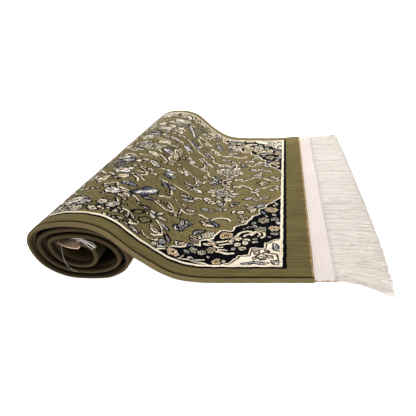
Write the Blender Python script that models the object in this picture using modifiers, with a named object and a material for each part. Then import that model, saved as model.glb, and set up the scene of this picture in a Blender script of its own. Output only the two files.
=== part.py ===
"""A machine-woven prayer rug, 0.70 m wide, lying half rolled on the floor.

The patterned end lies flat. The cloth then rises in a slope over a loose roll of
nearly three turns, wound with its pile outwards, so the roll's eye shows at both
sides. Each long side has an overcast edge roll, and each short end has a woven
heading tape with a fringe. The inner end's tape is folded back inside the roll.

Units are metres and +Z is up. X runs along the rug's length towards the open
fringe, and Y across its width, away from the side that shows the roll's eye.
"""

from collections import namedtuple

import bmesh
import bpy
import numpy as np

MM = 0.001

# Driving sizes
WIDTH = 0.700  # over both edge rolls
THICKNESS = 0.0072  # backing and pile together
EDGE_ROLL = 0.0066  # diameter of the overcast edge
GAP = 0.0003  # between pieces that touch in the real rug
TAPE_WIDTH = 0.0322
TAPE_THICKNESS = 0.0020
TAPE_INSET = 0.005  # the tape stops short of each long side
FRINGE_LENGTH = 0.0745
OUTER_STRANDS = 180
INNER_STRANDS = 60
STRAND_SHARE = 0.62  # of the pitch, the rest being the gap to the next strand
FRINGE_WAVE = 0.0016  # how far a strand wanders sideways
CREEP = 0.011  # how far the roll's turns have slid sideways
CORNER_LIFT = 0.005  # how far the far corner of the open end curls off the floor
STEPS = 9  # samples along each stretch of the profile
STATIONS = (0.0, 0.2, 0.4, 0.6, 0.76, 0.9, 1.0)  # shares of the way across

# The rug's lengthwise profile: one row for each place where the cloth lies level,
# stands plumb or turns. x and z are the middle of its thickness at the near side,
# in millimetres. The heading is where the cloth is going, in degrees from +X. The
# fullness is 0.55 for a quarter of an ellipse and more for a squarer turn. At the
# far side the cloth lies further along by far_x and far_z.
Fold = namedtuple("Fold", "place x z heading fullness far_x far_z")
PROFILE = (
    Fold("open end", 40, 3.6, 180, 0.55, 0, 0),
    Fold("foot of the slope", -92, 3.6, 180, 0.60, 30, 0),
    Fold("middle of the slope", -194, 40.0, 142, 0.40, -6, -6),
    Fold("first turn, top", -281, 90, 180, 0.60, -9, -8),
    Fold("first turn, left", -337, 58, 270, 0.58, -10, -4),
    Fold("first turn, onto the floor", -275, 3.6, 0, 0.60, -5, 0),
    Fold("first turn, off the floor", -257, 3.6, 0, 0.55, -2, 0),
    Fold("first turn, right", -214, 32, 90, 0.50, -8, -4),
    Fold("second turn, top", -280, 77, 180, 0.62, -10, -8),
    Fold("second turn, left", -328, 55, 270, 0.58, -10, -4),
    Fold("second turn, bottom", -268, 12.4, 0, 0.62, -3, 0),
    Fold("second turn, right", -225, 34, 90, 0.50, -8, -4),
    Fold("third turn, top", -281, 67.5, 180, 0.62, -10, -8),
    Fold("third turn, left", -314, 56, 270, 0.52, -11, -5),
    Fold("third turn, bottom", -274, 22, 0, 0.62, -3, 0),
    Fold("third turn, right", -256, 37, 90, 0.55, -8, -3),
    Fold("inner end", -274, 55, 176, 0.55, -8, -7),
)
CREEP_FROM, CREEP_TO = "first turn, top", "first turn, onto the floor"

# The inner end's tape, doubled back over the pile: the middle of its thickness, in
# millimetres past the cloth's end and up from the cloth's middle. The strands then
# run back over the pile in the steps of INNER_STEPS, each so far along and up.
Bend = namedtuple("Bend", "place past up")
INNER_TAPE = (
    Bend("sewn edge", 0.3, 0.0),
    Bend("under side", 13.0, 0.2),
    Bend("start of the turn", 20.5, 1.0),
    Bend("tip", 23.5, 3.0),
    Bend("end of the turn", 20.5, 5.0),
    Bend("fringe root", 8.0, 5.8),
)
INNER_TAPE_THICKNESS = 0.0012
INNER_STEPS = ((0.011, -0.0005), (0.010, -0.0027), (0.0095, -0.0055))
INNER_LEAN = 0.035  # its strands lie slantwise, but not past the far side

OLIVE = (0.150, 0.125, 0.052)
OLIVE_YARN = (0.235, 0.190, 0.098)
TAPE_WHITE = (0.80, 0.75, 0.68)


def smooth(t):
    """Rises from 0 to 1 with a soft start and end."""
    t = np.clip(t, 0.0, 1.0)
    return t * t * (3.0 - 2.0 * t)


def profile(far):
    """The profile at the near side (far = 0) or the far side (far = 1), as one row
    of x, z for each sample: Bezier arcs from fold to fold, whose handles are the
    fullness times the arc's reach along each heading."""
    knots = np.array([(f.x + far * f.far_x, f.z + far * f.far_z) for f in PROFILE]) * MM
    angle = np.radians([f.heading for f in PROFILE])
    going = np.stack([np.cos(angle), np.sin(angle)], axis=1)
    fullness = np.array([f.fullness for f in PROFILE])
    chord = knots[1:] - knots[:-1]
    reach_out = fullness[:-1] * np.abs((chord * going[:-1]).sum(axis=1))
    reach_in = fullness[1:] * np.abs((chord * going[1:]).sum(axis=1))
    first = knots[:-1] + reach_out[:, None] * going[:-1]
    second = knots[1:] - reach_in[:, None] * going[1:]
    t = (np.arange(STEPS) / STEPS)[None, :, None]
    arcs = (
        (1 - t) ** 3 * knots[:-1, None]
        + 3 * (1 - t) ** 2 * t * first[:, None]
        + 3 * (1 - t) * t**2 * second[:, None]
        + t**3 * knots[1:, None]
    )
    return np.concatenate([arcs.reshape(-1, 2), knots[-1:]])


def sideways_creep():
    """How far each sample of the profile has slid along the roll."""
    places = [f.place for f in PROFILE]
    start, end = places.index(CREEP_FROM) * STEPS, places.index(CREEP_TO) * STEPS
    sample = np.arange((len(PROFILE) - 1) * STEPS + 1)
    return CREEP * smooth((sample - start) / (end - start))


def corner_lift(x, y):
    """The far corner of the open end curls up a little."""
    return CORNER_LIFT * smooth((x + 0.03) / 0.08) * smooth((y - 0.50) / 0.20)


def cloth_points(across):
    """Points along the rug, at a share of the way across it from near to far."""
    near, far = profile(0), profile(1)
    x, z = (near + across * (far - near)).T
    inset = EDGE_ROLL + GAP
    y = inset + across * (WIDTH - 2 * inset) + sideways_creep()
    return np.stack([x, y, z + corner_lift(x, y)], axis=1)


def new_object(name, data, collection):
    obj = bpy.data.objects.new(name, data)
    collection.objects.link(obj)
    return obj


def cloth(name, collection):
    """The one-piece rug: a lofted sheet, thickened to both sides."""
    rows = np.stack([cloth_points(across) for across in STATIONS])
    across, along = rows.shape[:2]
    index = np.arange(across * along).reshape(across, along)
    quads = np.stack(
        [index[:-1, :-1], index[1:, :-1], index[1:, 1:], index[:-1, 1:]], axis=-1
    )
    mesh = bpy.data.meshes.new(name)
    mesh.from_pydata(rows.reshape(-1, 3).tolist(), [], quads.reshape(-1, 4).tolist())
    obj = new_object(name, mesh, collection)
    body = obj.modifiers.new("pile and backing", "SOLIDIFY")
    body.thickness = THICKNESS
    body.offset = 0.0
    return obj


def edge_roll(name, side, collection):
    """The overcast edge: a tube beside the cloth's long side (0 near, 1 far)."""
    points = cloth_points(side)
    points[:, 1] += (2 * side - 1) * (GAP + EDGE_ROLL / 2)
    curve = bpy.data.curves.new(name, "CURVE")
    curve.dimensions = "3D"
    curve.bevel_depth = EDGE_ROLL / 2
    curve.bevel_resolution = 1
    curve.use_fill_caps = True
    spline = curve.splines.new("POLY")
    spline.points.add(len(points) - 1)
    for point, place in zip(spline.points, points):
        point.co = (*place, 1.0)
    return new_object(name, curve, collection)


def comb(name, collection, strands, section, root, start, shift, strand_steps, lean):
    """A woven tape with its fringe, as one solid.

    section is the tape's outline as x, z points, and root the first of the two
    points whose side carries the strands. The tape starts at y = start, and
    shift(y) is how far its section has moved at y. The section is carried along Y in steps as wide as a strand and a gap in
    turn, and each second face of the root side is drawn out to a strand, by the
    x, z moves of strand_steps(y), while it leans sideways by lean(y) in all.
    """
    pitch = (WIDTH - 2 * TAPE_INSET) / strands
    half = STRAND_SHARE * pitch / 2
    middles = start + (np.arange(strands) + 0.5) * pitch
    cuts = np.sort(np.concatenate([middles - half, middles + half]))
    bm = bmesh.new()
    x, z = np.transpose(section) + shift(cuts[0])[:, None]
    corners = [bm.verts.new((x[i], cuts[0], z[i])) for i in range(len(section))]
    end = bm.faces.new(corners)
    roots = []
    for y, y_next in zip(cuts, cuts[1:]):
        x, z = shift(y_next) - shift(y)
        end = bmesh.ops.extrude_discrete_faces(bm, faces=[end])["faces"][0]
        bmesh.ops.translate(bm, verts=end.verts, vec=(x, y_next - y, z))
        rung = bm.edges.get((end.verts[root], end.verts[root + 1]))
        roots.append(next(face for face in rung.link_faces if face is not end))
    bm.faces.new(corners[::-1])
    lengths = np.random.default_rng(5).uniform(0.94, 1.0, strands)
    for number, (tip, y) in enumerate(zip(roots[::2], middles)):
        steps = strand_steps(y)
        along = np.arange(len(steps) + 1) / len(steps)
        sideways = lean(y) * along**1.4
        sideways += FRINGE_WAVE * along * np.sin(2.4 * number + 3.0 * along)
        for (x, z), move in zip(steps, np.diff(sideways)):
            tip = bmesh.ops.extrude_discrete_faces(bm, faces=[tip])["faces"][0]
            vec = (x * lengths[number], move, z)
            bmesh.ops.translate(bm, verts=tip.verts, vec=vec)
    bmesh.ops.recalc_face_normals(bm, faces=bm.faces)
    mesh = bpy.data.meshes.new(name)
    bm.to_mesh(mesh)
    bm.free()
    return new_object(name, mesh, collection)


def outer_fringe(name, collection):
    """The open end's tape and fringe: the strands run out level on the floor and
    splay past both corners, and the far corner's come down from the lifted tape."""
    left = PROFILE[0].x * MM + GAP
    right = left + TAPE_WIDTH
    section = [(left, 0), (right, 0), (right, TAPE_THICKNESS), (left, TAPE_THICKNESS)]
    step = FRINGE_LENGTH / 3

    def lean(y):
        return -0.040 * np.exp(-y / 0.055) + 0.046 * np.exp((y - WIDTH) / 0.060)

    def shift(y):
        return np.array([0.0, corner_lift(left, y)])

    def strand_steps(y):
        drop = corner_lift(left, y)
        return [(step, -0.65 * drop), (step, -0.35 * drop), (step, 0.0)]

    return comb(
        name,
        collection,
        strands=OUTER_STRANDS,
        section=section,
        root=1,
        start=TAPE_INSET,
        shift=shift,
        strand_steps=strand_steps,
        lean=lean,
    )


def inner_fringe(name, collection):
    """The inner end's tape, doubled back over the pile, with its fringe lying
    between the turns of the roll."""
    inner = PROFILE[-1]
    middle = np.array([(inner.x - b.past, inner.z + b.up) for b in INNER_TAPE]) * MM
    going = np.gradient(middle, axis=0)
    going /= np.hypot(*going.T)[:, None]
    out = np.stack([going[:, 1], -going[:, 0]], axis=1) * INNER_TAPE_THICKNESS / 2
    section = [*(middle - out), *(middle + out)[::-1]]

    def shift(y):
        return np.array([inner.far_x, inner.far_z]) * MM * (y - CREEP) / WIDTH

    return comb(
        name,
        collection,
        strands=INNER_STRANDS,
        section=section,
        root=len(INNER_TAPE) - 1,
        start=TAPE_INSET + CREEP,
        shift=shift,
        strand_steps=lambda y: INNER_STEPS,
        lean=lambda y: INNER_LEAN * smooth((WIDTH - y) / 0.25),
    )


def settle_on_origin(objects):
    """Moves every piece so that the middle of the rug's underside is the origin."""
    bpy.context.view_layer.update()
    graph = bpy.context.evaluated_depsgraph_get()
    corners = []
    for obj in objects:
        points = [vert.co for vert in obj.evaluated_get(graph).to_mesh().vertices]
        corners += [np.min(points, axis=0), np.max(points, axis=0)]
        obj.evaluated_get(graph).to_mesh_clear()
    low, high = np.min(corners, axis=0), np.max(corners, axis=0)
    for obj in objects:
        obj.location = (-(low[0] + high[0]) / 2, -(low[1] + high[1]) / 2, -low[2])


def principled(name, colour, roughness):
    material = bpy.data.materials.new(name)
    material.use_nodes = True
    shader = material.node_tree.nodes["Principled BSDF"]
    shader.inputs["Base Color"].default_value = (*colour, 1.0)
    shader.inputs["Roughness"].default_value = roughness
    shader.inputs["Metallic"].default_value = 0.0
    return material


def main():
    for obj in list(bpy.data.objects):
        bpy.data.objects.remove(obj)
    rug = bpy.data.collections.new("prayer rug")
    bpy.context.scene.collection.children.link(rug)
    finishes = {
        cloth("rug_body", rug): principled("olive pile", OLIVE, 0.9),
        edge_roll("edge_roll_near", 0, rug): principled("near edge yarn", OLIVE_YARN, 0.8),
        edge_roll("edge_roll_far", 1, rug): principled("far edge yarn", OLIVE_YARN, 0.8),
        outer_fringe("fringe_open_end", rug): principled("white tape", TAPE_WHITE, 0.85),
        inner_fringe("fringe_inner_end", rug): principled("inner tape", TAPE_WHITE, 0.85),
    }
    for obj, material in finishes.items():
        obj.data.materials.append(material)
    settle_on_origin(list(finishes))


main()
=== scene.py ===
"""The looks of a half-rolled, machine-woven prayer rug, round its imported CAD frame.

The cloth is one surface that follows the same lengthwise profile as the CAD part. A
place on the rug is given as it would be on the flat rug: across from the near long
side and along from the open end, in metres. The woven pattern is worked out on the
flat rug too, as distances from its lines and motifs, and the pile's material turns
those distances into bands of colour.
"""

from collections import namedtuple

import bpy
import numpy as np
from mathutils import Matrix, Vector


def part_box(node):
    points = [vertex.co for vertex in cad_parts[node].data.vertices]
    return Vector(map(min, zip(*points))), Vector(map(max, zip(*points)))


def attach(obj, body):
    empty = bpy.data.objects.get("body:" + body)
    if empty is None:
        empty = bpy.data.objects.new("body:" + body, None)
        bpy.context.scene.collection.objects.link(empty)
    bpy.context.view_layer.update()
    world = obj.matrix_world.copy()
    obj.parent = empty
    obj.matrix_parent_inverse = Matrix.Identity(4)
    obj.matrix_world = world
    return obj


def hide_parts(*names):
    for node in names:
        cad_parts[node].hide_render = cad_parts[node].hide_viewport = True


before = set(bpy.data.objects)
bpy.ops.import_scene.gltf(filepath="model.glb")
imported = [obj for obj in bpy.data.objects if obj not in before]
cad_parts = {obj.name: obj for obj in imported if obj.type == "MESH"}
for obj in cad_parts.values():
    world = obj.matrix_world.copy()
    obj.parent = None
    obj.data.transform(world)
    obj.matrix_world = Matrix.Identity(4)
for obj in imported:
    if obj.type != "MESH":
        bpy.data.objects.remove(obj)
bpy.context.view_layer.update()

MM = 0.001

# ---------------------------------------------------------------- the rug's sizes
WIDTH = 0.700
LENGTH = 1.080
THICKNESS = 0.0072
EDGE_ROLL = 0.0066
GAP = 0.0003
TAPE_WIDTH = 0.0322
TAPE_THICKNESS = 0.0020
TAPE_INSET = 0.005
FRINGE_LENGTH = 0.0745
CREEP = 0.011
CORNER_LIFT = 0.005
SIDE = EDGE_ROLL + GAP  # where the pile starts, in from each long side

# The part's lengthwise profile, one row for each place where the cloth lies level,
# stands plumb or turns: x and z of its middle in millimetres, heading in degrees,
# fullness of the turn, and how much further along the far side lies.
Fold = namedtuple("Fold", "place x z heading fullness far_x far_z")
PROFILE = (
    Fold("open end", 40, 3.6, 180, 0.55, 0, 0),
    Fold("foot of the slope", -92, 3.6, 180, 0.60, 30, 0),
    Fold("middle of the slope", -194, 40.0, 142, 0.40, -6, -6),
    Fold("first turn, top", -281, 90, 180, 0.60, -9, -8),
    Fold("first turn, left", -337, 58, 270, 0.58, -10, -4),
    Fold("first turn, onto the floor", -275, 3.6, 0, 0.60, -5, 0),
    Fold("first turn, off the floor", -257, 3.6, 0, 0.55, -2, 0),
    Fold("first turn, right", -214, 32, 90, 0.50, -8, -4),
    Fold("second turn, top", -280, 77, 180, 0.62, -10, -8),
    Fold("second turn, left", -328, 55, 270, 0.58, -10, -4),
    Fold("second turn, bottom", -268, 12.4, 0, 0.62, -3, 0),
    Fold("second turn, right", -225, 34, 90, 0.50, -8, -4),
    Fold("third turn, top", -281, 67.5, 180, 0.62, -10, -8),
    Fold("third turn, left", -314, 56, 270, 0.52, -11, -5),
    Fold("third turn, bottom", -274, 22, 0, 0.62, -3, 0),
    Fold("third turn, right", -256, 37, 90, 0.55, -8, -3),
    Fold("inner end", -274, 55, 176, 0.55, -8, -7),
)
CREEP_FROM, CREEP_TO = 3, 5  # the folds between which the turns slide sideways
STEPS = 40  # samples from fold to fold

# The inner end's tape, folded back over the pile: past the cloth's end and up.
INNER_TAPE = ((0.3, 0.0), (13.0, 0.2), (20.5, 1.0), (23.5, 3.0), (20.5, 5.0), (8.0, 5.8))
INNER_TAPE_THICKNESS = 0.0012
INNER_STEPS = ((11.0, -0.5), (10.0, -2.7), (9.5, -5.5))  # its fringe's run from there
INNER_LEAN = 0.035  # how far those yarns lean sideways

# ------------------------------------------------------------------- the camera
LENS = 36.66  # millimetres on a 36 mm sensor
SHIFT = -0.1854  # the photograph is the left part of a wider frame
PITCH = 25.20  # degrees down
CAMERA_HEIGHT = 0.3393
CAMERA_BACK = 0.4773  # from the rug's near edge


def smooth(t):
    """Rises from 0 to 1 with a soft start and end."""
    t = np.clip(t, 0.0, 1.0)
    return t * t * (3.0 - 2.0 * t)


def rise(value, start, end):
    """0 up to start and 1 from end on, with a smooth rise between them."""
    return smooth((value - start) / (end - start))


LIT = 1.85  # how much brighter than its own colour a level surface is in this light


def srgb(red, green, blue):
    """A colour as it is seen in the studio, in 0..255, as the linear colour that a
    shader takes."""
    seen = np.array([red, green, blue]) / 255.0
    linear = np.where(seen < 0.04045, seen / 12.92, ((seen + 0.055) / 1.055) ** 2.4)
    return (*(linear / LIT).tolist(), 1.0)


# ------------------------------------------------------------- where the cloth lies
def profile(far):
    """x, z along the profile at the near side (far = 0) or the far side (far = 1):
    cubic arcs from fold to fold, each drawn by its two ends and two handles, which
    are the fullness times the arc's reach along each heading."""
    knots = np.array([(f.x + far * f.far_x, f.z + far * f.far_z) for f in PROFILE]) * MM
    angle = np.radians([f.heading for f in PROFILE])
    going = np.stack([np.cos(angle), np.sin(angle)], axis=1)
    fullness = np.array([f.fullness for f in PROFILE])
    chord = knots[1:] - knots[:-1]
    reach_out = fullness[:-1] * np.abs((chord * going[:-1]).sum(axis=1))
    reach_in = fullness[1:] * np.abs((chord * going[1:]).sum(axis=1))
    first = knots[:-1] + reach_out[:, None] * going[:-1]
    second = knots[1:] - reach_in[:, None] * going[1:]
    t = (np.arange(STEPS) / STEPS)[None, :, None]
    arcs = (
        (1 - t) ** 3 * knots[:-1, None]
        + 3 * (1 - t) ** 2 * t * first[:, None]
        + 3 * (1 - t) * t**2 * second[:, None]
        + t**3 * knots[1:, None]
    )
    return np.concatenate([arcs.reshape(-1, 2), knots[-1:]])


def corner_lift(x, y):
    """The far corner of the open end curls up a little."""
    return CORNER_LIFT * rise(x, -0.03, 0.05) * rise(y, 0.50, 0.70)


LAY_STEP = 0.001  # from sample to sample along the cloth
LAY_SHARES = np.linspace(0.0, 1.0, 29)  # across it
TAKEN_UP_FROM = 0.7  # along: from here on, the two sides' lengths differ


def lie_of_the_cloth():
    """Tables of the middle of the cloth's thickness and of the way up from it, on a
    grid of shares across by lengths along. Each share's profile is the near and the
    far one mixed, sampled again at even lengths; the last third takes up the few
    millimetres by which the share's own length differs from the rug's."""
    near, far = profile(0), profile(1)
    sample = np.arange(len(near))
    slid = CREEP * smooth((sample / STEPS - CREEP_FROM) / (CREEP_TO - CREEP_FROM))
    even = np.arange(0.0, LENGTH + LAY_STEP / 2, LAY_STEP)
    rows = []
    for share in LAY_SHARES:
        x, z = (near + share * (far - near)).T
        length = np.concatenate([[0.0], np.cumsum(np.hypot(np.diff(x), np.diff(z)))])
        along = even + (length[-1] - LENGTH) * rise(even, TAKEN_UP_FROM, LENGTH)
        y = SIDE + share * (WIDTH - 2 * SIDE) + slid
        rows.append([np.interp(along, length, values) for values in (x, y, z)])
    place = np.array(rows).transpose(0, 2, 1)
    place[..., 2] += corner_lift(place[..., 0], place[..., 1])
    up = np.cross(np.gradient(place, axis=0), np.gradient(place, axis=1))
    up /= np.linalg.norm(up, axis=-1, keepdims=True)
    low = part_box("edge_roll_near")[0]
    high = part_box("fringe_open_end")[1]
    left_in_profile = PROFILE[0].x * MM + GAP + TAPE_WIDTH + FRINGE_LENGTH
    shift = np.array([high.x - left_in_profile, low.y, 0.0])
    return place + shift, up, shift


LAY, LAY_UP, SHIFT_TO_FRAME = lie_of_the_cloth()


def on_rug(across, along, up):
    """The place `up` over the middle of the cloth's thickness, at `across` from its
    near side and `along` from its open end: the tables mixed between their nearest
    rows, and carried on straight beyond their edges."""
    across, along, up = np.broadcast_arrays(across, along, up)
    i = (across - SIDE) / (WIDTH - 2 * SIDE) * (len(LAY_SHARES) - 1)
    j = along / LAY_STEP
    i0 = np.clip(np.floor(i).astype(int), 0, LAY.shape[0] - 2)
    j0 = np.clip(np.floor(j).astype(int), 0, LAY.shape[1] - 2)
    fi, fj = (i - i0)[..., None], (j - j0)[..., None]

    def mixed(table):
        return (
            table[i0, j0] * (1 - fi) * (1 - fj)
            + table[i0 + 1, j0] * fi * (1 - fj)
            + table[i0, j0 + 1] * (1 - fi) * fj
            + table[i0 + 1, j0 + 1] * fi * fj
        )

    way = mixed(LAY_UP)
    way /= np.linalg.norm(way, axis=-1, keepdims=True)
    return mixed(LAY) + way * up[..., None]


# --------------------------------------------------------------------- mesh making
def grid_faces(rows, columns, closed=False):
    """Quads between neighbouring points of a rows by columns grid; where it is
    closed, the last column joins the first."""
    i = np.arange(rows - 1)[:, None]
    j = np.arange(columns if closed else columns - 1)[None, :]
    i2, j2 = i + 1, (j + 1) % columns
    corners = [i * columns + j, i2 * columns + j, i2 * columns + j2, i * columns + j2]
    return np.stack(np.broadcast_arrays(*corners), axis=-1).reshape(-1, 4)


def piece(name, points, faces, material, fields, uv=None):
    """A smooth mesh object with float fields on its points and, where given, its own UV
    map."""
    mesh = bpy.data.meshes.new(name)
    mesh.from_pydata(points.reshape(-1, 3).tolist(), [], [f.tolist() for f in faces])
    for field, values in fields.items():
        layer = mesh.attributes.new(field, "FLOAT", "POINT")
        layer.data.foreach_set("value", np.asarray(values, np.float32).ravel())
    if uv is not None:
        corner_points = np.empty(len(mesh.loops), np.int32)
        mesh.loops.foreach_get("vertex_index", corner_points)
        layer = mesh.uv_layers.new(name="OFBake")
        layer.data.foreach_set("uv", uv.reshape(-1, 2)[corner_points].astype(np.float32).ravel())
    mesh.polygons.foreach_set("use_smooth", np.ones(len(mesh.polygons), bool))
    mesh.materials.append(material)
    obj = bpy.data.objects.new(name, mesh)
    bpy.context.scene.collection.objects.link(obj)
    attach(obj, "root")
    return obj


def spaced(*stretches):
    """Places along a line: each stretch is (from, to, pitch)."""
    parts = [
        np.linspace(start, end, max(2, int(round((end - start) / pitch)) + 1))[:-1]
        for start, end, pitch in stretches
    ]
    return np.concatenate([*parts, [stretches[-1][1]]])


# ------------------------------------------------------------------- woven pattern
# All pattern sizes are millimetres on the flat rug. The near half is drawn, and the
# far half is its mirror image, as on the rug.
HALF = WIDTH / MM / 2
# From the long side and from the open end: where the frame's black line starts, where
# its cream line starts, and where the cream line ends.
FRAME_SIDE = (23.6, 28.4, 32.8)
FRAME_END = (37.6, 43.6, 48.2)
OUTLINE = 2.6  # dark yarn round each motif
SHADE = (-1.7, 1.8)  # and a dark line beside each, towards the near side
FIELD_TURNS = 400.0  # the field's drawing turns back on itself here, inside the roll
FAR_OFF = 12.0  # as far from a line as its field is told
WANDERING = 3.2  # how unevenly the yarns follow the drawing: half of it to each side

COLOURS = (
    ("olive", srgb(124, 111, 70)),
    ("cream", (0.69, 0.605, 0.46, 1.0)),
    ("tan", srgb(212, 176, 122)),
    ("peach", srgb(222, 176, 134)),
    ("slate", srgb(88, 102, 130)),
    ("navy", srgb(5, 4, 10)),
    ("brown", srgb(92, 70, 44)),
    ("grey", srgb(184, 182, 178)),
    ("sage", srgb(122, 124, 98)),
    ("white", (0.70, 0.655, 0.615, 1.0)),
)
INDEX = {name: number for number, (name, _) in enumerate(COLOURS)}
VEINS = {
    "olive": "cream", "cream": "navy", "tan": "cream", "peach": "cream",
    "slate": "grey", "navy": "cream", "brown": "tan", "grey": "slate",
    "sage": "cream", "white": "navy",
}  # fmt: skip

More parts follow.
